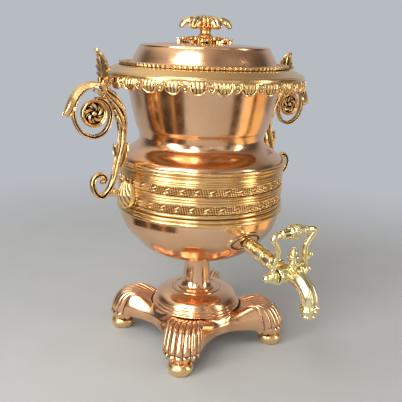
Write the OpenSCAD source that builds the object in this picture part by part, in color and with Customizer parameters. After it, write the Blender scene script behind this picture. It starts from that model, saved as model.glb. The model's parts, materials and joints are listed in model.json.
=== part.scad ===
/* [Overall] */
// Radius of the bowl wall behind the belt
bowl_r = 92.2; // [80:0.2:104]
// Thickness of the raised copper sheet
sheet = 1.5; // [1:0.1:2.2]
// Gap between pieces that are soldered or screwed together
seat_gap = 0.05; // [0.02:0.01:0.1]

/* [Plinth and feet] */
// Distance of each foot from the centre lines
foot_c = 65.6; // [58:0.2:72]
// Radius of a bun foot
foot_r = 14.5; // [11:0.5:16]
// Height of a bun foot
foot_h = 16; // [12:0.5:20]
// Height of the plinth's central seat above the ground
plinth_h = 44; // [40:0.5:52]
// Distance from the centre to the middle of a plinth side
side_r = 58; // [55:0.5:66]
// Wall of the cast plinth
plinth_wall = 2.5; // [2:0.1:3]
// Height of the turned dome on the plinth
dome_h = 21; // [17:0.5:26]
// Radius of the turned dome
dome_r = 53; // [50.5:0.5:54]
// Height of the pedestal stem
stem_h = 46; // [36:1:60]
// Radius of the stem at its waist
stem_r = 15; // [14:0.5:18]

/* [Vessel] */
// Height of the bowl from its floor to the bottom of the belt
bowl_h = 56.6; // [50:0.5:62]
// Height of the belt between its lowest and highest edge
belt_h = 58; // [54:0.5:70]
// Height of the upper body from the belt to the rim
body_h = 100; // [90:1:120]
// Radius of the upper body's waist
waist_r = 71; // [62:0.5:78]
// Radius of the body's rim
rim_r = 87.5; // [84:0.5:92]

/* [Rim and lid] */
// Radius of the filling mouth
mouth_r = 77; // [70:0.5:80]
// Outer radius of the rim flange
flange_r = 110.4; // [106:0.2:114]
// Height of the hanging skirt
skirt_h = 13.2; // [10:0.2:16]
// Number of notches round the skirt, an even number
skirt_notches = 28; // [16:2:40]
// Height of the upright gallery
gallery_h = 5.2; // [3:0.2:8]
// Height of the lid above the rim flange
lid_h = 25.6; // [20:0.2:32]
// Depth of the lid's locating ring
bezel_h = 10; // [6:0.5:14]
// Height of the finial above the lid
finial_h = 28.4; // [26:0.2:34]

/* [Handles] */
// Radius of the scroll's rosette
rosette_r = 12; // [9:0.5:13]
// Half width of the handle casting
handle_w = 4; // [3:0.25:6]
// Radius of the bolts and the rim stays
bolt_r = 2; // [1.5:0.1:2.4]

/* [Tap] */
// Distance of the tap's plug from the urn's axis
tap_reach = 152; // [146:1:164]
// Fall of the tap's tube in degrees
tap_fall = 10.5; // [6:0.5:14]
// Half length of the tap's barrel
barrel_half = 16; // [14:0.5:20]
// Radius of the tap's barrel
barrel_r = 8.2; // [7.6:0.1:9]
// Radius of the plug at its large end
plug_r = 5.9; // [5:0.1:6.2]
// Clearance between turning parts
run_gap = 0.08; // [0.04:0.01:0.1]
// Radius of the waterway through the tap
water_r = 3.4; // [2.5:0.1:3.8]

/* [Heater] */
// Outer radius of the sleeve that holds the iron
sleeve_r = 27.2; // [22:0.2:29]
// Height of the sleeve
sleeve_h = 149.5; // [120:0.5:160]
// Radius of the heating iron
iron_r = 22; // [16:0.5:23]
// Length of the heating iron
iron_h = 118; // [90:1:120]

/* [Hidden] */

// Colours of the metals
copper = "#b87a5c";
brass = "#c79a4e";
tap_brass = "#d9c27a";
dark_iron = "#55504c";
oiled_leather = "#6b4a32";
$fn = 96;

// Levels that the pieces share, from the ground up
seat_z = plinth_h;
stem_z = seat_z + dome_h;
bowl_z = stem_z + stem_h;
belt_z = bowl_z + bowl_h;
shoulder_z = belt_z + belt_h - 1.6;
body_z = shoulder_z + body_h;
flange_t = 2;
flange_z = body_z + flange_t;
lid_top_z = flange_z + lid_h;
top_z = lid_top_z + finial_h;

// ---- plain geometry helpers ----

// Unit vector of a flat vector
function unit(v) = v / max(norm(v), 1e-9);

// Left hand normal of a flat vector
function left(v) = [-v[1], v[0]];

// A profile line moved sideways by t, to the left of its direction
function beside(p, t) = [for (i = [0:len(p) - 1])
    let (a = left(unit(p[min(i + 1, len(p) - 1)] - p[i])))
    let (b = left(unit(p[i] - p[max(i - 1, 0)])))
    let (n = i == 0 ? a : i == len(p) - 1 ? b : unit(a + b))
    let (m = i == 0 || i == len(p) - 1 ? 1 : max(0.6, n * b))
    p[i] + n * t / m];

function turned_back(p) = [for (i = [len(p) - 1:-1:0]) p[i]];

// A turned sheet of thickness t on the left of its profile line
module turned_sheet(p, t) {
    rotate_extrude() polygon(concat(p, turned_back(beside(p, t))));
}

// Row of a smooth curve through rows of numbers
function smooth_row(p, i, t) =
    let (a = p[max(i - 1, 0)], b = p[i], c = p[i + 1], d = p[min(i + 2, len(p) - 1)])
    0.5 * (2 * b + (c - a) * t + (2 * a - 5 * b + 4 * c - d) * t * t
        + (3 * b - a - 3 * c + d) * t * t * t);

// Rows of [x, z, half thickness, half width] made smooth, with n steps between two rows
function smooth(p, n) = concat(
    [for (i = [0:len(p) - 2]) for (k = [0:n - 1]) smooth_row(p, i, k / n)],
    [p[len(p) - 1]]);

// One ring of a bar that follows a path in the XZ plane
function bar_ring(p, i, n) =
    let (q = p[i], d = p[min(i + 1, len(p) - 1)] - p[max(i - 1, 0)])
    let (s = left(unit([d[0], d[1]])))
    [for (k = [0:n - 1]) let (a = 360 * (k + 0.5) / n)
        [q[0] + s[0] * q[2] * cos(a), q[3] * sin(a), q[1] + s[1] * q[2] * cos(a)]];

// A bar along rows of [x, z, half thickness, half width]
module bar(p, n = 8) {
    last = len(p) - 1;
    polyhedron(
        points = [for (i = [0:last]) for (v = bar_ring(p, i, n)) v],
        faces = concat(
            [[for (k = [n - 1:-1:0]) k]],
            [[for (k = [0:n - 1]) last * n + k]],
            [for (i = [0:last - 1]) for (k = [0:n - 1]) let (m = (k + 1) % n)
                [i * n + k, (i + 1) * n + m, (i + 1) * n + k]],
            [for (i = [0:last - 1]) for (k = [0:n - 1]) let (m = (k + 1) % n)
                [i * n + k, i * n + m, (i + 1) * n + m]]));
}

module along_x() {
    rotate([0, 90, 0]) children();
}

// A copy for the left handle is the mirror image of the right one
module on_side(side) {
    mirror([side < 0 ? 1 : 0, 0, 0]) children();
}

// Wedges through the axis, which cut notches in a ring's edge
module edge_notches(count, width, z_edge, z_point) {
    for (i = [0:count / 2 - 1])
        rotate(i * 360 / count)
            rotate([90, 0, 0])
                linear_extrude(300, center = true)
                    polygon([[-width / 2, z_edge], [width / 2, z_edge], [0, z_point]]);
}

// ---- plinth and feet ----

lobe_r = 21.5;
lobe_c = foot_c * sqrt(2) - 7.8;
lobe_edge = 13.6;
ridge_end = 28;
rise_end = 18;
seat_ring = dome_r + 0.5;
side_bottom = foot_h + 9;
stud_r = 3;
tie_r = 4;
hole_gap = 0.3;
pad_t = 3;
rim_z = foot_h + 1;
foot_nut_h = 5;
stud_top = foot_h + pad_t + foot_nut_h + 2;

// Outline of the plinth seen from above, by angle from the corner's diagonal
function lobe_out(a) = lobe_c * cos(a) + sqrt(max(0, lobe_r ^ 2 - (lobe_c * sin(a)) ^ 2));
function plan_r(a) = a < lobe_edge ? lobe_out(a)
    : side_r + (lobe_out(lobe_edge) - side_r) * ((45 - a) / (45 - lobe_edge)) ^ 2.6;
function ridge(a) = min(1, max(0, (ridge_end - a) / (ridge_end - lobe_edge))) ^ 2;
function arch_z(a) = rim_z + (side_bottom - rim_z)
    * min(1, max(0, a - lobe_edge) / (rise_end - lobe_edge));

// Share of the way out, and height over the seat, down a corner and down a side
corner_out = [0, 0.066, 0.16, 0.292, 0.443, 0.594, 0.745, 0.868, 0.953, 1, 0.981, 0.915];
corner_up = [0, 4.5, 8, 10.3, 10.8, 9, 4.5, -2.5, -10, -17, -24, -28];
side_out = [0, 0.1, 0.22, 0.36, 0.5, 0.64, 0.8, 0.93, 1, 1, 1, 1];
side_down = [0, 1, 2.2, 3.4, 4.4, 5.4, 6.4, 7, 7.6];

function side_z(j, a) = j < 9 ? seat_z - side_down[j]
    : (seat_z - 7.6) + (arch_z(a) - (seat_z - 7.6)) * (j - 8) / 3;
function corner_z(j) = j < 9 ? seat_z + corner_up[j]
    : rim_z + (corner_up[j] + 28) * (seat_z - rim_z) / 28;

function plinth_line(a) = concat([[tie_r - 1, seat_z]],
    [for (j = [0:11]) let (w = ridge(a), s = w * corner_out[j] + (1 - w) * side_out[j])
        [seat_ring + s * (plan_r(a) - seat_ring),
         w * corner_z(j) + (1 - w) * side_z(j, a)]]);

// The inner line lies straight below the seat and turns inward down the side
function plinth_inside(line) = [for (j = [0:12]) let (turn = 90 * min(1, max(0, j - 1) / 8))
    line[j] - plinth_wall * [sin(turn), cos(turn)]];

plinth_step = 9;
function plinth_angle(k) = let (q = (k % (2 * plinth_step)) - plinth_step)
    sign(q) * 45 * abs(q / plinth_step) ^ 1.5;
function plinth_turn(k) = 90 * floor(k / (2 * plinth_step)) + plinth_angle(k);

module plinth_shell() {
    cols = 8 * plinth_step;
    rows = 13;
    loop = 2 * rows;
    pts = [for (k = [0:cols - 1])
        let (a = abs(plinth_angle(k)), t = plinth_turn(k) + 45)
        let (out = plinth_line(a))
        for (q = concat(out, turned_back(plinth_inside(out))))
            [q[0] * cos(t), q[0] * sin(t), q[1]]];
    polyhedron(points = pts, faces = concat(
        [for (k = [0:cols - 1]) for (j = [0:loop - 1])
            let (n = (k + 1) % cols, m = (j + 1) % loop)
            [k * loop + j, n * loop + m, k * loop + m]],
        [for (k = [0:cols - 1]) for (j = [0:loop - 1])
            let (n = (k + 1) % cols, m = (j + 1) % loop)
            [k * loop + j, n * loop + j, n * loop + m]]));
}

module at_feet() {
    for (x = [-1, 1])
        for (y = [-1, 1])
            translate([x * foot_c, y * foot_c, 0]) children();
}

// Round floor over each foot, which ends inside the shell's wall at the corner's tip
floor_share = 0.932;
floor_r = seat_ring + floor_share * (plan_r(0) - seat_ring) - plinth_wall / 2
    - foot_c * sqrt(2);

module plinth() {
    color(copper) difference() {
        union() {
            plinth_shell();
            at_feet() translate([0, 0, foot_h]) cylinder(h = pad_t, r = floor_r);
        }
        at_feet() translate([0, 0, foot_h - 1]) cylinder(h = pad_t + 2, r = stud_r + seat_gap);
        translate([0, 0, seat_z - plinth_wall - 1])
            cylinder(h = plinth_wall + 2, r = tie_r + hole_gap);
    }
}

module bun_foot(x, y) {
    flat_r = foot_r * 0.59;
    neck_r = foot_r * 0.6;
    color(brass) translate([x * foot_c, y * foot_c, 0]) difference() {
        rotate_extrude() polygon([
            [0, 0], [flat_r, 0], [foot_r * 0.83, foot_h * 0.1],
            [foot_r * 0.965, foot_h * 0.29], [foot_r, foot_h * 0.49],
            [foot_r * 0.94, foot_h * 0.68], [foot_r * 0.78, foot_h * 0.84],
            [neck_r, foot_h * 0.93], [neck_r, foot_h], [0, foot_h]]);
        translate([0, 0, foot_h * 0.3]) cylinder(h = foot_h, r = stud_r + seat_gap);
    }
}

module foot_studs() {
    low = foot_h * 0.3 + 0.2;
    color(dark_iron) at_feet() translate([0, 0, low]) cylinder(h = stud_top - low, r = stud_r);
}

module foot_nuts() {
    color(brass) at_feet() translate([0, 0, foot_h + pad_t]) difference() {
        cylinder(h = foot_nut_h, r = 6, $fn = 6);
        translate([0, 0, -1]) cylinder(h = foot_nut_h + 2, r = stud_r + seat_gap);
    }
}

module base_dome() {
    k = dome_h / 21;
    color(copper) turned_sheet([
        [dome_r - 1, seat_z], [dome_r, seat_z + 1.8 * k], [dome_r - 0.6, seat_z + 3.4 * k],
        [dome_r - 2.6, seat_z + 4.6 * k], [dome_r - 3, seat_z + 6.6 * k],
        [dome_r - 4, seat_z + 8.4 * k], [dome_r - 4.6, seat_z + 10.6 * k],
        [dome_r - 6.6, seat_z + 13.4 * k], [dome_r - 11, seat_z + 16 * k],
        [stem_r + 20, seat_z + 18.6 * k], [stem_r + 13, seat_z + 20 * k],
        [stem_r + 7.5, stem_z], [tie_r + hole_gap, stem_z]], sheet);
}

module stem() {
    hollow_r = stem_r - 3;
    color(copper) rotate_extrude() polygon([
        [hollow_r, stem_z], [stem_r + 7, stem_z], [stem_r + 6.6, stem_z + 1.6],
        [stem_r + 4, stem_z + 4.4], [stem_r + 2.5, stem_z + stem_h * 0.17],
        [stem_r + 1.7, stem_z + stem_h * 0.35], [stem_r + 0.3, stem_z + stem_h * 0.54],
        [stem_r, stem_z + stem_h * 0.68], [stem_r, bowl_z - stem_h * 0.15],
        [stem_r + 0.8, bowl_z - 3.4], [stem_r + 4, bowl_z - 1.6],
        [stem_r + 10.5, bowl_z - 0.6], [stem_r + 10.5, bowl_z], [hollow_r, bowl_z]]);
}

anchor_h = 8;
tie_nut_h = 5.6;
washer_h = 1.6;
plate_z = seat_z - plinth_wall;

module tie_anchor() {
    color(brass) translate([0, 0, bowl_z - anchor_h]) difference() {
        cylinder(h = anchor_h, r = stem_r - 3 - seat_gap);
        translate([0, 0, -1]) cylinder(h = anchor_h - 0.5, r = tie_r + seat_gap);
    }
}

module tie_rod() {
    foot = plate_z - washer_h - tie_nut_h - 2;
    color(dark_iron) translate([0, 0, foot]) cylinder(h = bowl_z - 2 - foot, r = tie_r);
}

module tie_washer() {
    color(dark_iron) translate([0, 0, plate_z - washer_h]) difference() {
        cylinder(h = washer_h, r = 12);
        translate([0, 0, -1]) cylinder(h = washer_h + 2, r = tie_r + hole_gap);
    }
}

module tie_nut() {
    color(brass) translate([0, 0, plate_z - washer_h - tie_nut_h]) difference() {
        cylinder(h = tie_nut_h, r = 8, $fn = 6);
        translate([0, 0, -1]) cylinder(h = tie_nut_h + 2, r = tie_r + seat_gap);
    }
}

// ---- vessel ----

// The bowl's flat floor reaches a little past the heater's sleeve
floor_margin = 2.8;
// Radius and height up the bowl, as shares of the bowl's own size
bowl_curve = [[(sleeve_r + floor_margin) / bowl_r, 0], [0.445, 0.024], [0.553, 0.078],
    [0.651, 0.147], [0.738, 0.247], [0.813, 0.371], [0.8785, 0.489], [0.933, 0.604],
    [0.97, 0.724], [0.992, 0.848]];
function bowl_line(grow) = concat([[0, bowl_z - grow]], beside(concat([[0, bowl_z]],
    [for (q = bowl_curve) [q[0] * bowl_r, bowl_z + q[1] * bowl_h]],
    [[bowl_r, belt_z - 1.6], [bowl_r, shoulder_z]]), -grow));

lap_h = 10;
bolt_z = belt_z + belt_h * 0.49;

module bolt_holes(z, x0, x1) {
    for (side = [-1, 1])
        on_side(side) translate([x0, 0, z]) along_x()
            cylinder(h = x1 - x0, r = bolt_r + seat_gap * 2);
}

module lower_bowl() {
    outer = [for (i = [1:len(bowl_line(0)) - 1]) bowl_line(0)[i]];
    color(copper) difference() {
        turned_sheet(outer, sheet);
        tap_frame() translate([0, 0, hole_u]) cylinder(h = hole_len, r = tail_r + seat_gap * 2);
        bolt_holes(bolt_z, bowl_r - 10, bowl_r + 10);
    }
}

module upper_body() {
    lap_r = bowl_r - sheet - seat_gap;
    wall = [
        [bowl_r, shoulder_z], [bowl_r + 0.4, shoulder_z + 2], [bowl_r - 1.2, shoulder_z + 5],
        [bowl_r - 4.7, shoulder_z + 8], [waist_r + 12, shoulder_z + 11],
        [waist_r + 7.5, shoulder_z + 13.8], [waist_r + 3.6, shoulder_z + 17],
        [waist_r + 1, shoulder_z + 20.5], [waist_r, shoulder_z + 24],
        [waist_r + 0.3, shoulder_z + 28], [waist_r + 1.6, shoulder_z + 32.5],
        [waist_r + (rim_r - waist_r) * 0.24, shoulder_z + body_h * 0.385],
        [waist_r + (rim_r - waist_r) * 0.49, shoulder_z + body_h * 0.55],
        [waist_r + (rim_r - waist_r) * 0.73, shoulder_z + body_h * 0.73],
        [rim_r - 1, body_z - 13], [rim_r, body_z - 9], [rim_r, body_z]];
    inside = beside(wall, sheet);
    color(copper) rotate_extrude() polygon(concat(
        [[lap_r - sheet, shoulder_z - lap_h], [lap_r, shoulder_z - lap_h], [lap_r, shoulder_z]],
        wall,
        [for (i = [len(inside) - 1:-1:1]) inside[i]],
        [[lap_r - sheet, shoulder_z - 1]]));
}

// ---- belt ----

band_r = bowl_r + seat_gap;
strip_r = bowl_r + 1.4;
rib_r = bowl_r + 3.1;
belt_k = belt_h / 58;
strip_low_z = belt_z + 13.6 * belt_k;
middle_z = belt_z + 23.2 * belt_k;
strip_high_z = belt_z + 32.4 * belt_k;
top_band_z = belt_z + 42 * belt_k;

// A pair of ribs: heights over a base level with the outline's radii
function ribs(z, pitch, count) = [for (i = [0:count - 1]) for (s = [[0.5, 0], [1, -1.1]])
    [rib_r + s[1], z + (i + s[0]) * pitch * belt_k]];

module belt_ring(outline) {
    color(brass) rotate_extrude() polygon(outline);
}

module belt_bottom_moulding() {
    belt_ring(concat([
        [band_r, belt_z], [rib_r - 0.5, belt_z], [rib_r - 0.3, belt_z + 1.4 * belt_k],
        [rib_r + 0.9, belt_z + 2.8 * belt_k], [rib_r + 0.7, belt_z + 4.6 * belt_k],
        [rib_r - 0.6, belt_z + 6 * belt_k], [rib_r + 0.4, belt_z + 7.2 * belt_k],
        [rib_r + 1, belt_z + 8.6 * belt_k], [rib_r, belt_z + 10 * belt_k],
        [rib_r - 1, belt_z + 11.2 * belt_k], [rib_r, belt_z + 12.4 * belt_k],
        [strip_r + 0.4, strip_low_z]],
        [[band_r, strip_low_z]]));
}

module vine_strip(z, h) {
    color(brass) translate([0, 0, z]) difference() {
        cylinder(h = h, r = strip_r);
        translate([0, 0, -1]) cylinder(h = h + 2, r = band_r);
    }
}

module belt_middle_moulding() {
    difference() {
        belt_ring(concat([[band_r, middle_z], [strip_r + 0.4, middle_z]],
            ribs(middle_z, 2.3, 4), [[band_r, strip_high_z]]));
        bolt_holes(bolt_z, bowl_r - 10, bowl_r + 10);
    }
}

module belt_top_moulding() {
    top = shoulder_z + 3;
    belt_ring(concat([[band_r, top_band_z], [strip_r + 0.4, top_band_z]],
        ribs(top_band_z, 2.3, 3),
        [[rib_r + 0.4, top - 8.2], [rib_r + 1.4, top - 6.8], [rib_r + 0.4, top - 5.4],
         [rib_r + 2.4, top - 3.8], [rib_r + 2.9, top - 1.8], [rib_r + 1.4, top],
         [rib_r - 0.9, top - 0.2], [bowl_r + 0.9, top - 1], [bowl_r + 0.9, shoulder_z + 0.4],
         [band_r, shoulder_z - 0.6]]));
}

// ---- rim ----

skirt_z = flange_z - 9.6;
skirt_r = flange_r - 0.2;
stay_z = skirt_z - 3.4;
gallery_r = rim_r + 5.1;

module rim_flange() {
    color(brass) rotate_extrude() polygon([
        [mouth_r, body_z], [mouth_r, flange_z], [gallery_r + 0.6, flange_z],
        [gallery_r + 4.4, flange_z - 0.2], [gallery_r + 8.4, flange_z - 1],
        [flange_r - 5.4, flange_z - 3.6], [flange_r - 2.4, flange_z - 6.2],
        [flange_r - 0.4, flange_z - 7.4], [flange_r, flange_z - 8.8], [flange_r - 0.2, skirt_z],
        [flange_r - 3.6, skirt_z], [flange_r - 6.4, flange_z - 5.8],
        [flange_r - 9.4, flange_z - 3.5], [gallery_r + 4.4, flange_z - 2.4],
        [rim_r + 1.8, body_z - 0.2], [rim_r + 1.8, body_z - 8], [rim_r + seat_gap, body_z - 8],
        [rim_r + seat_gap, body_z]]);
}

module rim_skirt() {
    low = skirt_z - skirt_h;
    color(brass) difference() {
        rotate_extrude() polygon([
            [skirt_r - 1.6, skirt_z], [skirt_r, skirt_z], [skirt_r + 1.4, skirt_z - 2.6],
            [skirt_r + 1.8, skirt_z - 5.4], [skirt_r + 1, skirt_z - 8.4], [skirt_r - 0.8, low],
            [skirt_r - 2.2, low], [skirt_r - 0.6, skirt_z - 8.2], [skirt_r + 0.2, skirt_z - 5.4],
            [skirt_r - 0.2, skirt_z - 3]]);
        rotate(180 / skirt_notches)
            edge_notches(skirt_notches, 9, low - 1, low + 5);
        bolt_holes(stay_z, skirt_r - 6, skirt_r + 6);
    }
}

module rim_gallery() {
    color(brass) difference() {
        translate([0, 0, flange_z]) difference() {
            cylinder(h = gallery_h, r = gallery_r);
            translate([0, 0, -1]) cylinder(h = gallery_h + 2, r = gallery_r - 1.6);
        }
        edge_notches(24, 12, flange_z + gallery_h + 0.5, flange_z + gallery_h * 0.45);
    }
}

// ---- lid ----

finial_pin_r = 3;
foot_ring_r = mouth_r + 4;
lid_edge_r = foot_ring_r - 11;

module lid_dome() {
    color(copper) turned_sheet([
        [foot_ring_r, flange_z], [foot_ring_r + 0.6, flange_z + 1],
        [foot_ring_r + 0.6, flange_z + 3], [foot_ring_r - 0.7, flange_z + 4],
        [foot_ring_r - 3.2, flange_z + lid_h * 0.33], [foot_ring_r - 6, flange_z + lid_h * 0.55],
        [foot_ring_r - 8.8, flange_z + lid_h * 0.74], [lid_edge_r, lid_top_z - 4],
        [lid_edge_r - 1.4, lid_top_z - 3.2], [lid_edge_r * 0.72, lid_top_z - 1.6],
        [20, lid_top_z], [finial_pin_r + seat_gap * 2, lid_top_z]], sheet);
}

module lid_bezel() {
    out = mouth_r - 0.4;
    rise = 0.2;
    color(brass) rotate_extrude() polygon([
        [out - 1.2, flange_z - bezel_h], [out, flange_z - bezel_h], [out, flange_z + rise],
        [foot_ring_r - sheet - 0.2, flange_z + rise], [foot_ring_r - sheet - 0.2, flange_z + 1.4],
        [out - 1.2, flange_z + 1.4]]);
}

rosette_h = 6.4;
spool_h = 9;
spool_z = lid_top_z + rosette_h;
crown_z = spool_z + spool_h;

module finial_rosette() {
    color(brass) difference() {
        rotate_extrude() polygon([
            [finial_pin_r + seat_gap, lid_top_z], [18, lid_top_z], [24, lid_top_z + 0.6],
            [29, lid_top_z + 1], [31.5, lid_top_z + 0.2], [31.8, lid_top_z + 1.4],
            [29, lid_top_z + 3.4], [22, lid_top_z + 4.4], [12, lid_top_z + 5.4],
            [8, spool_z], [finial_pin_r + seat_gap, spool_z]]);
        for (i = [0:3])
            rotate(22.5 + 45 * i)
                for (s = [-1, 1])
                    translate([s * 36, 0, lid_top_z - 1])
                        cylinder(h = 10, r = 8);
    }
}

module finial_stem() {
    pin_low = lid_top_z - 9.6;
    color(brass) union() {
        rotate_extrude() polygon([
            [0, spool_z], [8, spool_z], [6.6, spool_z + 2], [5.7, spool_z + 4.5],
            [6.2, spool_z + 7], [8, crown_z], [0, crown_z]]);
        translate([0, 0, pin_low]) cylinder(h = crown_z + 4 - pin_low, r = finial_pin_r);
    }
}

module finial_crown() {
    crown_h = top_z - crown_z;
    color(brass) difference() {
        rotate_extrude() polygon([
            [0, crown_z], [8, crown_z], [11, crown_z + crown_h * 0.2],
            [17, crown_z + crown_h * 0.28], [22, crown_z + crown_h * 0.06],
            [24, crown_z - 1.4], [26.5, crown_z - 0.4], [27.2, crown_z + crown_h * 0.25],
            [24, crown_z + crown_h * 0.5], [19, crown_z + crown_h * 0.64],
            [14, crown_z + crown_h * 0.84], [7, top_z - 0.3], [0, top_z]]);
        translate([0, 0, crown_z - 1]) cylinder(h = 5.4, r = finial_pin_r + seat_gap);
        for (i = [0:5])
            rotate(54 + 60 * i) translate([29.6, 0, crown_z - 3]) cylinder(h = 20, r = 7);
    }
}

module finial_nut() {
    nut_h = 5;
    color(brass) translate([0, 0, lid_top_z - sheet - nut_h]) difference() {
        cylinder(h = nut_h, r = 6.4, $fn = 6);
        translate([0, 0, -1]) cylinder(h = nut_h + 2, r = finial_pin_r + seat_gap);
    }
}

// ---- handles ----

// The handle is set out from the foot of its stem, and hangs from its stay at the rim
stem_x = bowl_r + 11;
scroll_drop = 33;
scroll_x = stem_x + 30.8;
scroll_z = stay_z - scroll_drop;
leaf_z = scroll_z + 30;
leaf_x = stem_x + 20.8;
pad_x = bowl_r + 18.8;
scroll_end_z = bolt_z;

// Lower scroll, up the stem, then the large scroll round its rosette
handle_line = concat(
    [for (q = [[22, 13, 1.4, 2], [19.4, 12.2, 1.7, 2.4], [18.2, 15.6, 1.9, 3],
        [21.6, 20, 2.1, 3.4], [27.4, 20.6, 2.2, 3.6], [32.4, 16.6, 2.3, 3.8],
        [33.8, 9.6, 2.3, 4], [30.8, 1.8, 2.4, 4], [24, -3.4, 2.4, 4], [17.4, 0.4, 2.5, 4],
        [12.4, 7.4, 2.6, 4], [9, 16, 2.9, 4], [6.6, 26, 3.3, 4], [3, 39, 3.8, 4.2]])
        [stem_x + q[0], scroll_end_z + q[1], q[2], q[3] * handle_w / 4]],
    [for (q = [[0, -35, 4.6, 4.6], [-1, -26, 4.7, 4.4], [-1.4, -18, 5.1, 4.6],
        [-0.2, -8, 5.7, 5], [2.4, 2, 6, 5.2], [7, 11, 5.6, 5], [13.6, 19, 4.8, 4.6]])
        [stem_x + q[0], scroll_z + q[1], q[2], q[3] * handle_w / 4]],
    [for (q = [[105, 28.2], [84, 27.2], [60, 25], [30, 22.6], [0, 21.6], [-30, 21.8],
        [-60, 23], [-90, 23.6], [-120, 22.4], [-150, 19.8], [-180, 18.2], [-210, 16.8],
        [-240, 15.6], [-262, 14.2]])
        [scroll_x + q[1] * cos(q[0]), scroll_z + q[1] * sin(q[0]), 2.2, 3.6 * handle_w / 4]]);

module scroll_ring() {
    translate([scroll_x, 0, scroll_z]) rotate([90, 0, 0]) difference() {
        cylinder(h = handle_w * 1.7, r = rosette_r + 1.9, center = true);
        cylinder(h = handle_w * 3, r = rosette_r + seat_gap * 2, center = true);
    }
}

// Leaf on the outside of the large scroll: angle and distance, half thickness, half width
sheath = [[96, 29.6, 1.4, 3], [80, 30, 2.4, 4.6], [60, 29.2, 3, 5.4], [40, 28, 3.2, 5.6],
    [20, 27.6, 3, 5.2], [7, 29.4, 2.2, 4], [1, 32.6, 1.1, 2], [-1, 33.6, 0.7, 1.2]];

module handle(side) {
    color(brass) on_side(side) difference() {
        union() {
            bar(smooth(handle_line, 2));
            scroll_ring();
            bar(smooth([for (q = sheath)
                [scroll_x + q[1] * cos(q[0]), scroll_z + q[1] * sin(q[0]), q[2], q[3]]], 2));
            translate([leaf_x - 2.2, -4, leaf_z - 9]) cube([6.2, 8, 9]);
            translate([pad_x, 0, bolt_z]) along_x() cylinder(h = 8.4, r = 4.4);
        }
        translate([pad_x - 1, 0, bolt_z]) along_x() cylinder(h = 8, r = bolt_r + seat_gap);
    }
}

module handle_leaf(side) {
    leaf = [[0, 2, 1.9, 6], [0.4, 8, 1.8, 9.6], [1, 14, 1.7, 12.8], [1.6, 20, 1.5, 11.6],
        [3, 26, 1.3, 7.6], [5.8, 31, 1.1, 3.8], [8, 32.6, 0.8, 1.6]];
    color(brass) on_side(side) difference() {
        union() {
            translate([leaf_x - 2.4, -4.4, leaf_z]) cube([4.8, 8.8, 3]);
            bar(smooth([for (q = leaf) [leaf_x + q[0], leaf_z + q[1], q[2], q[3]]], 3));
        }
        translate([leaf_x - 8, 0, stay_z]) along_x() cylinder(h = 16, r = bolt_r + seat_gap);
    }
}

module volute_rosette(side) {
    color(brass) on_side(side) translate([scroll_x, 0, scroll_z]) rotate([90, 0, 0])
        rotate_extrude() polygon([
            [0, -3.6], [3, -3.4], [4, -2], [9, -2.8], [rosette_r, -2], [rosette_r, 2],
            [9, 2.8], [4, 2], [3, 3.4], [0, 3.6]]);
}

// Level and reach of the knuckles of the shell leaf on the belt, with half widths
module handle_plate(side) {
    knobs = [[pad_x - 7.6, 10, 0, 1.5], [pad_x + 3.4, -5, 0, 2], [pad_x - 5, -18, 0, 2],
        [bowl_r + 5.6, 9, 8, 1.5], [bowl_r + 4.6, -5, 12, 1.5], [bowl_r + 4.8, -21, 6, 1.5]];
    color(brass) on_side(side) difference() {
        hull() for (k = knobs) for (s = [-1, 1])
            translate([k[0], s * k[2], bolt_z + k[1]]) sphere(k[3], $fn = 16);
        cylinder(h = 3 * bolt_z, r = rib_r + 1.4, center = true);
        translate([bowl_r, 0, bolt_z]) along_x() cylinder(h = 60, r = bolt_r + seat_gap * 2);
        translate([pad_x, 0, bolt_z]) along_x() cylinder(h = 20, r = 4.8);
    }
}

module handle_bolts() {
    head_r = 4.5;
    wall_x = bowl_r - sheet;
    for (side = [-1, 1])
        color(brass) on_side(side) translate([0, 0, bolt_z]) along_x() union() {
            translate([0, 0, wall_x - 4.8]) cylinder(h = 3, r = head_r);
            translate([0, 0, wall_x - 4]) cylinder(h = pad_x + 6 - wall_x + 4, r = bolt_r);
        }
}

module bolt_washers() {
    wall_x = bowl_r - sheet;
    for (side = [-1, 1])
        color(oiled_leather) on_side(side) translate([wall_x - 1.8, 0, bolt_z]) along_x() difference() {
            cylinder(h = 1.5, r = 6);
            translate([0, 0, -1]) cylinder(h = 4, r = bolt_r + seat_gap);
        }
}

module rim_stay(side) {
    leaf_in = leaf_x - 2.2;
    color(brass) on_side(side) translate([0, 0, stay_z]) along_x() union() {
        translate([0, 0, skirt_r - 7]) cylinder(h = leaf_x + 3 - skirt_r + 7, r = bolt_r);
        translate([0, 0, skirt_r + 2.1]) rotate_extrude() polygon([
            [0, 0], [2.6, 0], [3.5, 2], [3.5, leaf_in - skirt_r - 4.4],
            [2.6, leaf_in - skirt_r - 2.5], [0, leaf_in - skirt_r - 2.5]]);
        translate([0, 0, leaf_x + 2.4]) cylinder(h = 2, r = 2.8);
    }
}

module stay_nuts() {
    for (side = [-1, 1])
        color(brass) on_side(side) translate([skirt_r - 5.4, 0, stay_z]) along_x() difference() {
            cylinder(h = 3.4, r = 3, $fn = 6);
            translate([0, 0, -1]) cylinder(h = 6, r = bolt_r + seat_gap);
        }
}

// ---- tap ----

barrel_z = bowl_z + 23.6;
tail_r = 6;
escutcheon_t = 1.6;
cross_u = (tap_reach - bowl_r * 0.94) / cos(tap_fall);
nut_u = cross_u + 10;
hole_u = cross_u - 26;
hole_len = 60;
spout_r = 7.4;
bend_r = 22;
bend_y = tap_reach + 10;
outlet_z = barrel_z - 33.6;
bend_z = barrel_z - bend_r;
finial_y = tap_reach + 6.5;
pedestal_z = barrel_z + 13.4;

// Frame whose Z runs up the tap's tube towards the urn, from the centre of the plug
module tap_frame() {
    translate([0, -tap_reach, barrel_z]) rotate([tap_fall - 90, 0, 0]) children();
}

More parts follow.
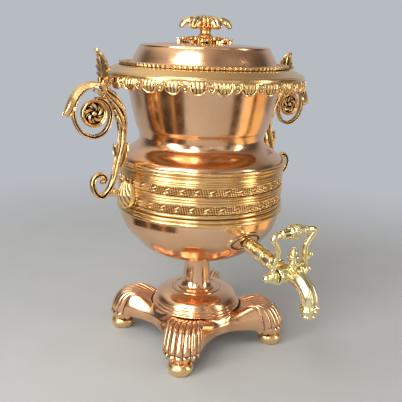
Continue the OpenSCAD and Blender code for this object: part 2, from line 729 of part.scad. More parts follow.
module bowl_solid(grow) {
    rotate_extrude() polygon(concat(bowl_line(grow), [[0, shoulder_z]]));
}

module tap_escutcheon() {
    oval = [for (i = [0:35]) let (a = i * 10)
        [24 * cos(a) * (1 - 0.12 * abs(sin(a))), 13 * sin(a)]];
    color(copper) difference() {
        intersection() {
            tap_frame() translate([0, 0, hole_u]) linear_extrude(40) polygon(oval);
            bowl_solid(escutcheon_t);
        }
        bowl_solid(seat_gap);
        tap_frame() translate([0, 0, hole_u]) cylinder(h = hole_len, r = tail_r + seat_gap * 2);
    }
}

module spout(r) {
    translate([0, -bend_y, bend_z]) rotate([90, 0, -90])
        rotate_extrude(angle = 90) translate([bend_r, 0]) circle(r);
    translate([0, -tap_reach, barrel_z]) rotate([90, 0, 0]) cylinder(h = bend_y - tap_reach, r = r);
}

taper = 0.8;

// The tapered seat of the plug, a little longer than the barrel
module plug_taper(gap) {
    cylinder(h = 2 * barrel_half + 4, r1 = plug_r + gap, r2 = plug_r - taper + gap, center = true);
}

// Radius of the turned tube, and share of the way from the plug to the root's ring
tube_line = [[7.4, 0.16], [7.8, 0.23], [8.7, 0.31], [9, 0.39], [8.7, 0.48], [7.7, 0.56],
    [7.2, 0.6], [7.7, 0.65], [8.1, 0.74], [7.9, 0.82], [7.2, 0.89], [6.6, 0.95], [6.4, 1]];

module tap_body() {
    far = cross_u;
    ring_u = far - 12;
    color(tap_brass) difference() {
        union() {
            tap_frame() rotate_extrude() polygon(concat(
                [[0, 0], [7.4, 0]],
                [for (q = tube_line) [q[0], q[1] * ring_u]],
                [[7.4, far - 10], [7.4, far - 8.6], [6, far - 7.6], [tail_r, far + 17],
                 [0, far + 17]]));
            difference() {
                tap_frame() translate([0, 0, far - 9]) cylinder(h = 18, r = 8.6);
                bowl_solid(escutcheon_t + seat_gap);
            }
            plug_frame() cylinder(h = 2 * barrel_half, r = barrel_r, center = true);
            for (s = [-1, 1])
                plug_frame() translate([0, 0, s * (barrel_half - 1.5)])
                    cylinder(h = 3, r = barrel_r + 0.7, center = true);
            translate([0, -tap_reach - 1, barrel_z]) sphere(barrel_r + 2);
            spout(spout_r);
            translate([0, -bend_y - bend_r, outlet_z]) rotate_extrude() polygon([
                [0, 0], [7.6, 0], [8.4, 3], [8.6, 5], [10.2, 6.6], [10.4, 8.6], [8.8, 10.4],
                [spout_r + 0.5, bend_z - outlet_z], [0, bend_z - outlet_z]]);
            translate([0, -finial_y, barrel_z]) cylinder(h = 13.4, r = 4.6);
        }
        plug_frame() plug_taper(run_gap);
        tap_frame() cylinder(h = far + 20, r = water_r);
        spout(water_r + 0.8);
        translate([0, -bend_y - bend_r, outlet_z - 1])
            cylinder(h = bend_z - outlet_z + 1, r = water_r + 0.8);
        translate([0, -finial_y, pedestal_z - 5.2]) cylinder(h = 10, r = 2.5 + seat_gap);
    }
}

module tap_finial() {
    color(tap_brass) translate([0, -finial_y, pedestal_z]) union() {
        rotate_extrude() polygon([
            [0, 0], [4.4, 0], [3.2, 1.6], [3.2, 3.6], [5.4, 5.6], [6, 7], [5.4, 8.2], [3.4, 9.4],
            [4, 11], [3.2, 13], [1.4, 14.6], [2, 15.8], [1.4, 17], [0, 17.4]]);
        translate([0, 0, -5]) cylinder(h = 6, r = 2.5);
    }
}

module tap_washer() {
    color(oiled_leather) difference() {
        intersection() {
            tap_frame() translate([0, 0, cross_u - 8]) cylinder(h = nut_u - cross_u + 8, r = 10.5);
            bowl_solid(-sheet - seat_gap);
        }
        tap_frame() translate([0, 0, hole_u]) cylinder(h = hole_len, r = tail_r + seat_gap);
    }
}

module tap_back_nut() {
    color(tap_brass) tap_frame() translate([0, 0, nut_u]) difference() {
        cylinder(h = 5.4, r = 10.4, $fn = 6);
        translate([0, 0, -1]) cylinder(h = 8, r = tail_r + seat_gap);
    }
}

neck_r = 3.4;
eye_in = barrel_half + 3.2;
eye_w = 3.8;
eye_out = eye_in + eye_w;

// Frame of the plug: its axis lies along X
module plug_frame() {
    translate([0, -tap_reach, barrel_z]) along_x() children();
}

module tap_plug() {
    far = barrel_half + 0.6;
    color(tap_brass) plug_frame() difference() {
        union() {
            translate([0, 0, -barrel_half - 0.4]) intersection() {
                translate([0, 0, barrel_half + 0.4]) plug_taper(0);
                cylinder(h = 2 * barrel_half + 1, r = 20);
            }
            translate([0, 0, -eye_in]) cylinder(h = eye_in - barrel_half - 0.3, r = barrel_r - 1);
            translate([0, 0, -eye_out - 3]) cylinder(h = 6, r = neck_r);
            translate([0, 0, -eye_out - 4.4]) sphere(4.3);
            translate([0, 0, -eye_in - 1]) cylinder(h = 2, r = neck_r);
            translate([0, 0, far - 1]) cylinder(h = eye_out + 5 - far + 1, r = neck_r - 0.4);
        }
        rotate([0, 90, 0]) cylinder(h = 40, r = water_r, center = true);
    }
}

module plug_washer() {
    color(tap_brass) plug_frame() translate([0, 0, barrel_half + 0.7]) difference() {
        cylinder(h = eye_in - barrel_half - 0.7, r = barrel_r - 1);
        translate([0, 0, -1]) cylinder(h = 6, r = neck_r - 0.4 + seat_gap);
    }
}

module plug_nut() {
    color(tap_brass) plug_frame() difference() {
        union() {
            translate([0, 0, eye_out]) cylinder(h = 2, r = 3.9);
            translate([0, 0, eye_out + 4.4]) sphere(4.3);
        }
        translate([0, 0, eye_out - 1]) cylinder(h = 6.4, r = neck_r - 0.4 + seat_gap);
    }
}

grip_z = 45.4;
bail_tilt = 7.5;
spindle_r = 2.3;
grip_half = 19;

module tap_bail() {
    eye_mid = eye_in + eye_w / 2;
    leg = [[0, 4, 1.7, 3], [0, 8, 1.8, 2.9], [-0.4, 13, 3, 3], [-2.8, 22, 3.2, 3.2],
        [-1.6, 30, 3.1, 3.1], [4, 36, 3.1, 3.1], [7.2, 40.4, 3, 3],
        [4.6, grip_z - 0.6, 2.9, 2.9], [-1.6, grip_z, 2.4, 2.6]];
    color(tap_brass) translate([0, -tap_reach, barrel_z]) rotate([bail_tilt, 0, 0]) union() {
        for (side = [-1, 1])
            on_side(side) {
                difference() {
                    union() {
                        translate([eye_in, 0, 0]) along_x() cylinder(h = eye_w, r = 6);
                        bar(smooth([for (q = leg) [eye_mid + q[0], q[1], q[2], q[3]]], 3));
                        translate([eye_mid, 0, 11]) rotate([0, 62, 0]) cylinder(h = 7.4, r = 1.6);
                        translate([eye_mid + 7.4, 0, 15]) sphere(2.6, $fn = 20);
                    }
                    translate([eye_in - 1, 0, 0]) along_x()
                        cylinder(h = eye_w + 2, r = (side < 0 ? neck_r : neck_r - 0.4) + seat_gap);
                }
            }
        translate([-grip_half - 4, 0, grip_z]) along_x() cylinder(h = 2 * grip_half + 8, r = spindle_r);
    }
}

module tap_grip() {
    out = grip_half - 0.2;
    color(tap_brass) translate([0, -tap_reach, barrel_z]) rotate([bail_tilt, 0, 0])
        translate([0, 0, grip_z]) along_x() difference() {
            rotate_extrude() polygon([
                [0, -out], [3.6, -out], [4.4, -out + 1.4], [4.2, -out + 3], [4.4, -8],
                [5.4, -5], [5.2, -3.6], [6.4, -1], [7.4, 3], [7.4, 6], [6.4, 10], [4.4, 14],
                [3.8, 15.4], [4.2, 16.8], [3.6, out], [0, out]]);
            cylinder(h = 60, r = spindle_r + seat_gap, center = true);
        }
}

// ---- heater ----

floor_z = bowl_z + sheet;
sleeve_wall = 1.2;
sleeve_top = floor_z + sleeve_h;
cap_h = 4;
eye_z = floor_z + sheet + iron_h;

module heater_sleeve() {
    color(copper) translate([0, 0, floor_z]) rotate_extrude() polygon([
        [0, 0], [sleeve_r, 0], [sleeve_r, sleeve_h - 1.6], [sleeve_r + 1.8, sleeve_h - 1.6],
        [sleeve_r + 1.8, sleeve_h], [sleeve_r - sleeve_wall, sleeve_h],
        [sleeve_r - sleeve_wall, sheet], [0, sheet]]);
}

module heater_iron() {
    color(dark_iron) translate([0, 0, floor_z + sheet]) difference() {
        rotate_extrude() polygon([
            [0, 0], [iron_r - 1.5, 0], [iron_r, 1.5], [iron_r, iron_h - 1.5],
            [iron_r - 1.5, iron_h], [0, iron_h]]);
        translate([0, 0, iron_h - 12]) cylinder(h = 20, r = 3 + seat_gap);
    }
}

module iron_eye() {
    color(dark_iron) translate([0, 0, eye_z]) union() {
        translate([0, 0, -11]) cylinder(h = 15, r = 3);
        cylinder(h = 2, r = 6);
        translate([0, 0, 10.5]) rotate([90, 0, 0])
            rotate_extrude() translate([7, 0]) circle(2.4, $fn = 48);
    }
}

module sleeve_cap() {
    plug = sleeve_r - sleeve_wall - 0.4;
    color(copper) translate([0, 0, sleeve_top]) difference() {
        rotate_extrude() polygon([
            [0, -cap_h], [plug, -cap_h], [plug, 0], [sleeve_r + 1.6, 0], [sleeve_r + 1.6, 1.4],
            [plug - 6, 3], [8, 4], [0, 4]]);
        translate([0, 0, -cap_h + 1]) cylinder(h = 12, r = 2.5 + seat_gap);
    }
}

module cap_knob() {
    color(brass) translate([0, 0, sleeve_top + 4]) union() {
        rotate_extrude() polygon([
            [0, 0], [4.4, 0], [3, 2], [3, 4], [5.4, 6.4], [5.6, 8], [4, 10], [0, 11]]);
        translate([0, 0, -6]) cylinder(h = 7, r = 2.5);
    }
}

plinth();
base_dome();
stem();
bun_foot(-1, -1);  // bun_foot_front_left
bun_foot(1, -1);  // bun_foot_front_right
bun_foot(-1, 1);  // bun_foot_back_left
bun_foot(1, 1);  // bun_foot_back_right
foot_studs();
foot_nuts();
tie_anchor();
tie_rod();
tie_washer();
tie_nut();
lower_bowl();
upper_body();
belt_top_moulding();
vine_strip(strip_high_z, top_band_z - strip_high_z);  // vine_strip_upper
belt_middle_moulding();
vine_strip(strip_low_z, middle_z - strip_low_z);  // vine_strip_lower
belt_bottom_moulding();
rim_flange();
rim_skirt();
rim_gallery();
lid_dome();
lid_bezel();
finial_rosette();
finial_stem();
finial_crown();
finial_nut();
handle(-1);  // handle_left
handle(1);  // handle_right
handle_leaf(-1);  // handle_leaf_left
handle_leaf(1);  // handle_leaf_right
volute_rosette(-1);  // volute_rosette_left
volute_rosette(1);  // volute_rosette_right
handle_plate(-1);  // handle_plate_left
handle_plate(1);  // handle_plate_right
rim_stay(-1);  // rim_stay_left
rim_stay(1);  // rim_stay_right
stay_nuts();
handle_bolts();
bolt_washers();
tap_escutcheon();
tap_body();
tap_finial();
tap_washer();
tap_back_nut();
tap_plug();
plug_washer();
plug_nut();
tap_bail();
tap_grip();
heater_sleeve();
heater_iron();
iron_eye();
sleeve_cap();
cap_knob();
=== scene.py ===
import json
import math

import bmesh
import bpy
import numpy as np
from mathutils import Matrix, Vector


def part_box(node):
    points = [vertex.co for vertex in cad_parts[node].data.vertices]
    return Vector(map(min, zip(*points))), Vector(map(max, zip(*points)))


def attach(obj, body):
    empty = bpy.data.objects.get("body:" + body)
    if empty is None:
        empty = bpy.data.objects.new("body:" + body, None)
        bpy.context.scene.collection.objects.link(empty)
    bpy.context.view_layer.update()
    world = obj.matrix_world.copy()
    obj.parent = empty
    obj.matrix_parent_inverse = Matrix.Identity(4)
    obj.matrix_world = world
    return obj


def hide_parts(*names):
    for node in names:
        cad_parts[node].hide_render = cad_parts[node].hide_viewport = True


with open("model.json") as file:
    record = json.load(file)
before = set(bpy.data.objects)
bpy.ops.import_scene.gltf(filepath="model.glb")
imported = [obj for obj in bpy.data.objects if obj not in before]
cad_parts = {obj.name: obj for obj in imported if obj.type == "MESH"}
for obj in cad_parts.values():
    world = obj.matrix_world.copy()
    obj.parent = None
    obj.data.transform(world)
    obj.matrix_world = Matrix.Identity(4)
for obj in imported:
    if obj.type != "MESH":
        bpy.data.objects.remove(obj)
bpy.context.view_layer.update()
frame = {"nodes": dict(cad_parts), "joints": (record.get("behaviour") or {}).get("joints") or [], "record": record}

# ---- sizes, in millimetres, taken from the frame ----

MM = 0.001
TAU = math.tau
X, Y, Z = 0, 1, 2
SHEET = 1.5  # thickness of the raised copper
SOLDER = 0.05  # gap between the bowl and what is soldered round it
LID_SWELL = 0.6  # by which the lid's side swells beyond its foot
CROWN_TIPS = 1.4  # by which the tips of the crown's leaves hang below its foot


def low(node, axis=Z):
    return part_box(node)[0][axis] / MM


def high(node, axis=Z):
    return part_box(node)[1][axis] / MM


def middle(node, axis=Z):
    return (low(node, axis) + high(node, axis)) / 2


foot_h = high("bun_foot_front_left")
foot_c = middle("bun_foot_front_right", X)
foot_r = high("bun_foot_front_right", X) - foot_c
seat_z = low("base_dome")
stem_z = low("stem")
bowl_z = high("stem")
belt_z = low("belt_bottom_moulding")
strip_low_z = low("vine_strip_lower")
middle_z = high("vine_strip_lower")
strip_high_z = low("vine_strip_upper")
top_band_z = high("vine_strip_upper")
belt_top_z = high("belt_top_moulding")
shoulder_z = high("lower_bowl")
body_z = high("upper_body")
flange_z = high("rim_flange")
skirt_z = high("rim_skirt")
skirt_low_z = low("rim_skirt")
lid_top_z = low("finial_rosette")
spool_z = high("finial_rosette")
crown_z = low("finial_crown") + CROWN_TIPS
top_z = high("finial_crown")
bowl_r = high("lower_bowl", X)
strip_r = high("vine_strip_upper", X)
dome_r = high("base_dome", X)
stem_r = high("stem", X)
flange_r = high("rim_flange", X)
gallery_r = high("rim_gallery", X)
lid_foot_r = high("lid_dome", X) - LID_SWELL
barrel = next(j for j in frame["joints"] if j["name"] == "tap_turn")["pos_m"]
barrel_y, barrel_z = barrel[Y] / MM, barrel[Z] / MM


# ---- outlines and surfaces ----

def smooth(rows, steps=6):
    """A curve through rows of numbers, with the given steps between two rows"""
    p = np.asarray(rows, float)
    out = []
    for i in range(len(p) - 1):
        a, b, c, d = p[max(i - 1, 0)], p[i], p[i + 1], p[min(i + 2, len(p) - 1)]
        for t in np.arange(steps) / steps:
            out.append(0.5 * (2 * b + (c - a) * t + (2 * a - 5 * b + 4 * c - d) * t ** 2
                              + (3 * b - a - 3 * c + d) * t ** 3))
    out.append(p[-1])
    return np.array(out)


def outline(first, *runs, at=(0, 0)):
    """A smooth run of points, and others that each start where the last one ended, with a crisp
    corner between two. at is added to every point."""
    line = smooth(first) if len(first) > 2 else np.asarray(first, float)
    for run in runs:
        run = np.concatenate([line[-1:], run])
        line = np.concatenate([line, (smooth(run) if len(run) > 2 else run)[1:]])
    return line + at


def ball(r, steps, high_r=None):
    """Outline of a ball, or of an egg whose half height is high_r"""
    turn = np.linspace(0, math.pi, steps)
    return np.stack([r * np.sin(turn), -(high_r or r) * np.cos(turn)], 1)


def reeds(z0, z1, count, r, rise, steps=9):
    """Half-round reeds, one above the other"""
    turn = np.linspace(0, math.pi, steps)
    pitch = (z1 - z0) / count
    return np.array([[r + rise * math.sin(a), z0 + (i + (1 - math.cos(a)) / 2) * pitch]
                     for i in range(count) for a in turn])


def beside(line, t):
    """The line moved sideways by t, to its left"""
    along = np.gradient(line, axis=0)
    along /= np.maximum(np.linalg.norm(along, axis=1), 1e-9)[:, None]
    return line + t * np.stack([-along[:, 1], along[:, 0]], 1)


def bearings(count):
    return np.linspace(0, TAU, count, endpoint=False)


def surface(x, y, z):
    return np.stack(np.broadcast_arrays(x, y, z), -1)


def round_z(r, turn, z):
    """Points at radius r and bearing turn about the Z axis, at height z"""
    return surface(r * np.cos(turn), r * np.sin(turn), z)


def grid(points, wrap_rows=False, wrap_cols=False):
    """Points and four-sided faces of a surface given as rows of points"""
    rows, cols = points.shape[:2]
    r, c = np.meshgrid(np.arange(rows if wrap_rows else rows - 1),
                       np.arange(cols if wrap_cols else cols - 1), indexing="ij")
    r2, c2 = (r + 1) % rows, (c + 1) % cols
    faces = np.stack([r * cols + c, r * cols + c2, r2 * cols + c2, r2 * cols + c], -1)
    return points.reshape(-1, 3), faces.reshape(-1, 4)


def capped(points):
    """A surface given as rings of points, closed at both ends"""
    ends = [np.repeat(points[i].mean(0)[None, None], points.shape[1], 1) for i in (0, -1)]
    return grid(np.concatenate([ends[0], points, ends[1]]), False, True)


def turned(profile, count=192):
    """A turned solid about Z; the profile's rows are radius and height"""
    p = np.asarray(profile, float)
    on_axis = p[0, 0] < 1e-6 and p[-1, 0] < 1e-6
    return grid(round_z(p[:, 0, None], bearings(count), p[:, 1, None]), not on_axis, True)


def raised(line):
    """A shell of raised sheet: the outer line and one that lies inside it"""
    return turned(np.concatenate([line, beside(line, SHEET)[::-1]]))


def in_xz(x, z, lift, side):
    """Points off a line in the XZ plane: lift to its left, and side along Y"""
    dx, dz = np.gradient(x), np.gradient(z)
    length = np.maximum(np.hypot(dx, dz), 1e-9)
    return surface(x[:, None] - (dz / length)[:, None] * lift, side,
                   z[:, None] + (dx / length)[:, None] * lift)


def bar(rows, shape=None, count=20):
    """A bar along rows of x, z, half thickness and half width in the XZ plane"""
    p = np.asarray(rows, float)
    p = np.concatenate([p[:1] * [1, 1, 0, 0], p, p[-1:] * [1, 1, 0, 0]])
    x, z, t, w = p.T
    along = np.concatenate([[0], np.cumsum(np.hypot(np.diff(x), np.diff(z)))])
    a = (np.arange(count) + 0.5) * TAU / count
    u, v = np.cos(a)[None].repeat(len(p), 0), np.sin(a)[None].repeat(len(p), 0)
    if shape:
        u, v = shape(u, v, along[:, None])
    return grid(in_xz(x, z, t[:, None] * u, w[:, None] * v), False, True)


def leaf(rows, lobes, cut, cup, vein, thick, across=14, steps=6, at=(0, 0)):
    """A cast leaf along rows of x, z and half width in the XZ plane, with its face to the left.
    cut is the depth of its lobes, cup the rise of its edges, and vein the height of its ribs."""
    x, z, w = (smooth(rows, steps) + [*at, 0]).T
    w = w[:, None]
    s = np.linspace(0, 1, len(x))[:, None]
    v = np.linspace(-1, 1, across)[None]
    away = np.abs(v)
    edge = 1 - cut * np.abs(np.sin(math.pi * (lobes * s - 0.45 * away))) ** 0.7 * away
    ribs = vein * (1.6 * bell(v, 0, 0.13)
                   + 0.8 * np.abs(np.sin(math.pi * (lobes * s - 0.9 * away))) * away)
    top = cup * w * v ** 2 + ribs
    taper = np.minimum(1, 4 * (1 - s) + 0.25)
    under = cup * w * v ** 2 - thick * taper - 0.8 * ribs
    side = w * v * edge
    return capped(in_xz(x, z, np.concatenate([top, under[:, ::-1]], 1),
                        np.concatenate([side, side[:, ::-1] * 0.97], 1)))


def bell(x, centre, width):
    """1 at the centre, with smooth slopes on both sides"""
    return np.exp(-((x - centre) / width) ** 2)


def ramp(x, width):
    """0 up to x = 0, and 1 from x = width"""
    return np.clip(x / width, 0, 1)


def half_ball(d2):
    """Height of a half ball of radius 1 where d2 is the squared distance from its axis"""
    return np.sqrt(np.clip(1 - d2, 0, 1))


def moved(solid, turn=None, shift=(0, 0, 0)):
    points, faces = solid
    if turn is not None:
        points = points @ np.asarray(turn).T
    return points + np.asarray(shift, float), faces


def about(axis, degrees):
    """Rotation matrix about one of the three axes"""
    c, s = math.cos(math.radians(degrees)), math.sin(math.radians(degrees))
    i, j = (axis + 1) % 3, (axis + 2) % 3
    m = np.eye(3)
    m[i, i] = m[j, j] = c
    m[i, j], m[j, i] = -s, s
    return m


MIRROR = np.diag([-1.0, 1.0, 1.0])
LYING = about(Y, 90)
FACING = about(X, 90)


def around(solid, count, first):
    """Copies of a solid round the Z axis"""
    return [moved(solid, about(Z, first + i * 360 / count)) for i in range(count)]


# ---- finishes ----

def colour(code):
    """Linear colour of an sRGB hex code"""
    parts = [int(code[i:i + 2], 16) / 255 for i in (1, 3, 5)]
    return [c / 12.92 if c <= 0.04045 else ((c + 0.055) / 1.055) ** 2.4 for c in parts] + [1.0]


def add(tree, kind, inputs=(), out=None, **settings):
    """Adds a node and gives back an output: the one that is named, or the first in use. An input
    is a value or another node's output."""
    made = tree.nodes.new("ShaderNode" + kind)
    for key, value in settings.items():
        setattr(made, key, value)
    for key, value in dict(inputs).items():
        if isinstance(value, bpy.types.NodeSocket):
            tree.links.new(value, made.inputs[key])
        else:
            made.inputs[key].default_value = value
    return made.outputs[out] if out else next((o for o in made.outputs if o.enabled), None)


def new_material(name):
    made = bpy.data.materials.new(name)
    made.use_nodes = True
    made.node_tree.nodes.clear()
    return made, made.node_tree


# Sizes in mm of the metal's clouds of age, its smears, its rings from the lathe and its scratches
# from the cloth. Rings and scratches are coarser than real ones, so that they show.
CLOUDS, SMEARS, RINGS, SCRATCHES = 45, 9, 0.5, 1.2


def polished_metal(name, bright, warm, tarnish_and_shade, rough, hammer_mm=0.0, wear=0.5):
    """A polished metal: bright where hands and cloth reach, warm where it has aged,
    and darkened in its hollows, which the relief attribute gives: partly tarnish and partly painted shade in the
    recesses"""
    made, tree = new_material(name)
    place = add(tree, "TexCoord", out="Object")
    mark = add(tree, "Attribute", out="Fac", attribute_name="relief")
    # Hollows are darkened towards the third colour: partly tarnish, partly painted shade in the recesses
    hollow = add(tree, "MapRange", {"Value": mark, "From Min": 0.02, "From Max": 0.6},
                 interpolation_type="SMOOTHSTEP")
    rubbed = add(tree, "MapRange", {"Value": mark, "From Min": -0.5, "From Max": 0.1,
                                    "To Max": wear})
    clouds = add(tree, "TexNoise", {"Vector": place, "Scale": 1 / (CLOUDS * MM), "Detail": 4.0})
    aged = add(tree, "MapRange", {"Value": clouds, "From Min": 0.35, "From Max": 0.7,
                                  "To Max": rubbed})
    tone = add(tree, "Mix", {"Factor": aged, "A": colour(bright), "B": colour(warm)},
               data_type="RGBA")
    tone = add(tree, "Mix", {"Factor": hollow, "A": tone, "B": colour(tarnish_and_shade)}, data_type="RGBA")
    smears = add(tree, "TexNoise", {"Vector": place, "Scale": 1 / (SMEARS * MM), "Detail": 5.0,
                                    "Roughness": 0.65})
    dull = add(tree, "MapRange", {"Value": smears, "From Min": 0.3, "From Max": 0.75,
                                  "To Min": rough * 0.75, "To Max": rough * 1.45})
    dull = add(tree, "Math", {0: hollow, 1: 0.4, 2: dull}, operation="MULTIPLY_ADD")
    level = add(tree, "VectorMath", {0: place, 1: (1, 1, 0)}, operation="MULTIPLY")
    reach = add(tree, "VectorMath", {0: level}, operation="LENGTH")
    height = add(tree, "SeparateXYZ", {"Vector": place}, "Z")
    turning = add(tree, "CombineXYZ", {"X": reach, "Y": height})
    rings = add(tree, "TexNoise", {"Vector": turning, "Scale": 1 / (RINGS * MM), "Detail": 2.0})
    bump = add(tree, "Bump", {"Height": rings, "Strength": 0.12, "Distance": 0.05 * MM})
    drawn = add(tree, "Mapping", {"Vector": place, "Scale": (1.0, 1.0, 0.15)})
    scratches = add(tree, "TexNoise", {"Vector": drawn, "Scale": 1 / (SCRATCHES * MM),
                                       "Detail": 3.0})
    bump = add(tree, "Bump", {"Height": scratches, "Strength": 0.1, "Distance": 0.06 * MM,
                              "Normal": bump})
    if hammer_mm:
        dents = add(tree, "TexNoise", {"Vector": place, "Scale": 1 / (hammer_mm * MM),
                                       "Detail": 1.0})
        bump = add(tree, "Bump", {"Height": dents, "Strength": 0.35, "Distance": 0.5 * MM,
                                  "Normal": bump})
    shader = add(tree, "BsdfPrincipled", {"Base Color": tone, "Metallic": 1.0, "Roughness": dull,
                                          "Normal": bump})
    add(tree, "OutputMaterial", {"Surface": shader})
    return made


def black_iron():
    """Cast iron with fire scale: near black, dull and slightly pitted"""
    made, tree = new_material("black_iron")
    place = add(tree, "TexCoord", out="Object")
    pits = add(tree, "TexNoise", {"Vector": place, "Scale": 1 / (2.5 * MM), "Detail": 6.0})
    rust = add(tree, "MapRange", {"Value": pits, "From Min": 0.5, "From Max": 0.75})
    tone = add(tree, "Mix", {"Factor": rust, "A": colour("#3b3733"), "B": colour("#5a4031")},
               data_type="RGBA")
    bump = add(tree, "Bump", {"Height": pits, "Strength": 0.5, "Distance": 0.2 * MM})
    shader = add(tree, "BsdfPrincipled", {"Base Color": tone, "Metallic": 0.6, "Roughness": 0.62,
                                          "Normal": bump})
    add(tree, "OutputMaterial", {"Surface": shader})
    return made


def oiled_leather():
    """Leather washer, dark with oil, with a pebbled grain of about a millimetre"""
    made, tree = new_material("oiled_leather")
    place = add(tree, "TexCoord", out="Object")
    grain = add(tree, "TexVoronoi", {"Vector": place, "Scale": 1 / (1.0 * MM)}, "Distance")
    tone = add(tree, "Mix", {"Factor": grain, "A": colour("#4a3322"), "B": colour("#6d4b31")},
               data_type="RGBA")
    bump = add(tree, "Bump", {"Height": grain, "Strength": 0.4, "Distance": 0.1 * MM})
    shader = add(tree, "BsdfPrincipled", {"Base Color": tone, "Roughness": 0.5, "Normal": bump})
    add(tree, "OutputMaterial", {"Surface": shader})
    return made


COPPER, MOULDING, CAST, PALE = "copper_polished", "brass_moulding", "brass_cast", "brass_tap"
# The fourth colour of each metal darkens its hollows: partly tarnish, partly painted shade
FINISHES = {
    # Raised copper sheet, polished by hand: warm pink gold, a little wavy from the hammer
    COPPER: polished_metal("polished_copper", "#f4c79f", "#e4ab7f", "#5f3a1e", 0.17,
                           hammer_mm=26, wear=0.8),
    # Spun and stamped brass: soft gold, brown in its hollows, partly tarnish where the cloth doesn't reach and
    # partly painted shade
    MOULDING: polished_metal("stamped_brass", "#f3cd92", "#dda968", "#3b2410", 0.22),
    # Cast and chased brass: golden on the high parts, dark brown in the chasing, partly tarnish and partly painted
    # shade
    CAST: polished_metal("chased_brass", "#f4d096", "#cc9556", "#1c0f06", 0.26, wear=0.8),
    # Turned and polished pale brass, newer than the rest
    PALE: polished_metal("turned_brass", "#f4eabb", "#e0d088", "#57441a", 0.2),
    "iron": black_iron(),
    "fibre": oiled_leather(),
}


# ---- making a piece ----

CREASE = 38  # degrees between two faces above which their edge is drawn sharp
MERGE = 0.002 * MM  # points nearer to each other than this become one


def relief(mesh, reach, depth_mm):
    """How far each point lies under its surroundings, as a share of depth_mm, for the tarnish and painted shade in
    hollows
    """
    count = len(mesh.vertices)
    co = np.empty(count * 3)
    mesh.vertices.foreach_get("co", co)
    co = co.reshape(-1, 3)
    edges = np.empty(len(mesh.edges) * 2, int)
    mesh.edges.foreach_get("vertices", edges)
    a, b = edges.reshape(-1, 2).T
    near = np.maximum(np.bincount(a, minlength=count) + np.bincount(b, minlength=count), 1)
    level = co.copy()
    for _ in range(reach):
        level = np.stack([(np.bincount(a, level[b, k], count) + np.bincount(b, level[a, k], count))
                          / near for k in range(3)], 1)
    normal = np.empty(count * 3)
    mesh.vertex_normals.foreach_get("vector", normal)
    depth = ((level - co) * normal.reshape(-1, 3)).sum(1) / (depth_mm * MM)
    mark = mesh.attributes.new("relief", "FLOAT", "POINT")
    mark.data.foreach_set("value", np.clip(depth, -1, 1).astype(np.float32))


def new_object(name, data):
    made = bpy.data.objects.new(name, data)
    bpy.context.scene.collection.objects.link(made)
    return made


def piece(name, node, solids, finish, reach=8, depth=0.6, body="urn"):
    """One piece from its solids, on its body, in place of its plain node. Tarnish and painted shade
    lie where the surface is depth mm lower than it is within reach edges round it."""
    points, faces, start = [], [], 0
    for p, f in solids:
        points.append(p)
        faces.append(f + start)
        start += len(p)
    mesh = bpy.data.meshes.new(name)
    mesh.from_pydata((np.concatenate(points) * MM).tolist(), [], np.concatenate(faces).tolist())
    shape = bmesh.new()
    shape.from_mesh(mesh)
    bmesh.ops.remove_doubles(shape, verts=shape.verts, dist=MERGE)
    bmesh.ops.recalc_face_normals(shape, faces=shape.faces)
    shape.to_mesh(mesh)
    shape.free()
    mesh.shade_smooth()
    mesh.set_sharp_from_angle(angle=math.radians(CREASE))
    relief(mesh, reach, depth)
    mesh.materials.append(FINISHES[finish])
    made = new_object(name, mesh)
    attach(made, body)
    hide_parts(node)


for row in frame["record"]["subparts"]:
    part = frame["nodes"][row["node"]]
    for place in part.material_slots:
        place.material = FINISHES[row["material_slot"]]


# ---- plinth and feet ----

LOBE_R = 21.5
LOBE_IN = 7.8  # from a foot's middle to the middle of the shell over it, towards the axis
LOBE_END = 82  # degrees round a shell's own centre, from its diagonal to its edge
FLUTES = 7
VALLEY = 1.5  # depth of the narrow valleys between the flutes
SIDE_MIDDLE = 45  # degrees from a corner's diagonal to the middle of a side
FADE_END = 39  # degrees from a corner's diagonal at which the rise of its shell has died out
PLINTH_WALL = 2.5
ROD_HOLE = 4.3
lobe_c = foot_c * math.sqrt(2) - LOBE_IN
side_r = dome_r + 5
seat_ring = dome_r + 0.5
rim_z = foot_h + 1
side_low_z = foot_h + 9

# Share of the way out and height from the seat, down a corner and down a side. A side slopes
# gently to an edge, and a round band runs under that edge.
CORNER = smooth([[0, 0], [0.08, 2], [0.18, 4.2], [0.3, 6.4], [0.43, 8.1], [0.56, 8.7],
                 [0.69, 7.4], [0.81, 3.6], [0.9, -3], [0.965, -10.5], [1, -17.5],
                 [0.985, -23], [0.9, -28]])
SIDE = smooth([[0, 0], [0.05, -1.6], [0.13, -3], [0.24, -4.3], [0.37, -5.4], [0.51, -6.4],
               [0.65, -7.2], [0.78, -8], [0.9, -9], [0.975, -11.4], [1.0, -14.2],
               [0.98, -17], [0.93, -19.5]])
ROLL_TOP, ROLL_END = -8, -19.5


def plinth_columns():
    """Polar angle from a corner's diagonal, outline radius and flute position, round one corner"""
    lobe_turn = np.radians(np.linspace(-LOBE_END, LOBE_END, FLUTES * 14 + 1))
    px, py = lobe_c + LOBE_R * np.cos(lobe_turn), LOBE_R * np.sin(lobe_turn)
    angle, out = np.degrees(np.arctan2(py, px)), np.hypot(px, py)
    flute = np.linspace(-0.5, 0.5, len(angle))
    edge, edge_out = angle[-1], out[-1]
    side = edge + (SIDE_MIDDLE - edge) * np.linspace(0, 1, 36)[1:] ** 1.5
    share = (SIDE_MIDDLE - side) / (SIDE_MIDDLE - edge)
    side_out = side_r + (edge_out - side_r) * share ** 2.6
    angle = np.concatenate([-side[::-1][1:], angle, side])
    out = np.concatenate([side_out[::-1][1:], out, side_out])
    blank = np.full(len(side), np.nan)
    return angle, out, np.concatenate([blank[1:], flute, blank]), edge


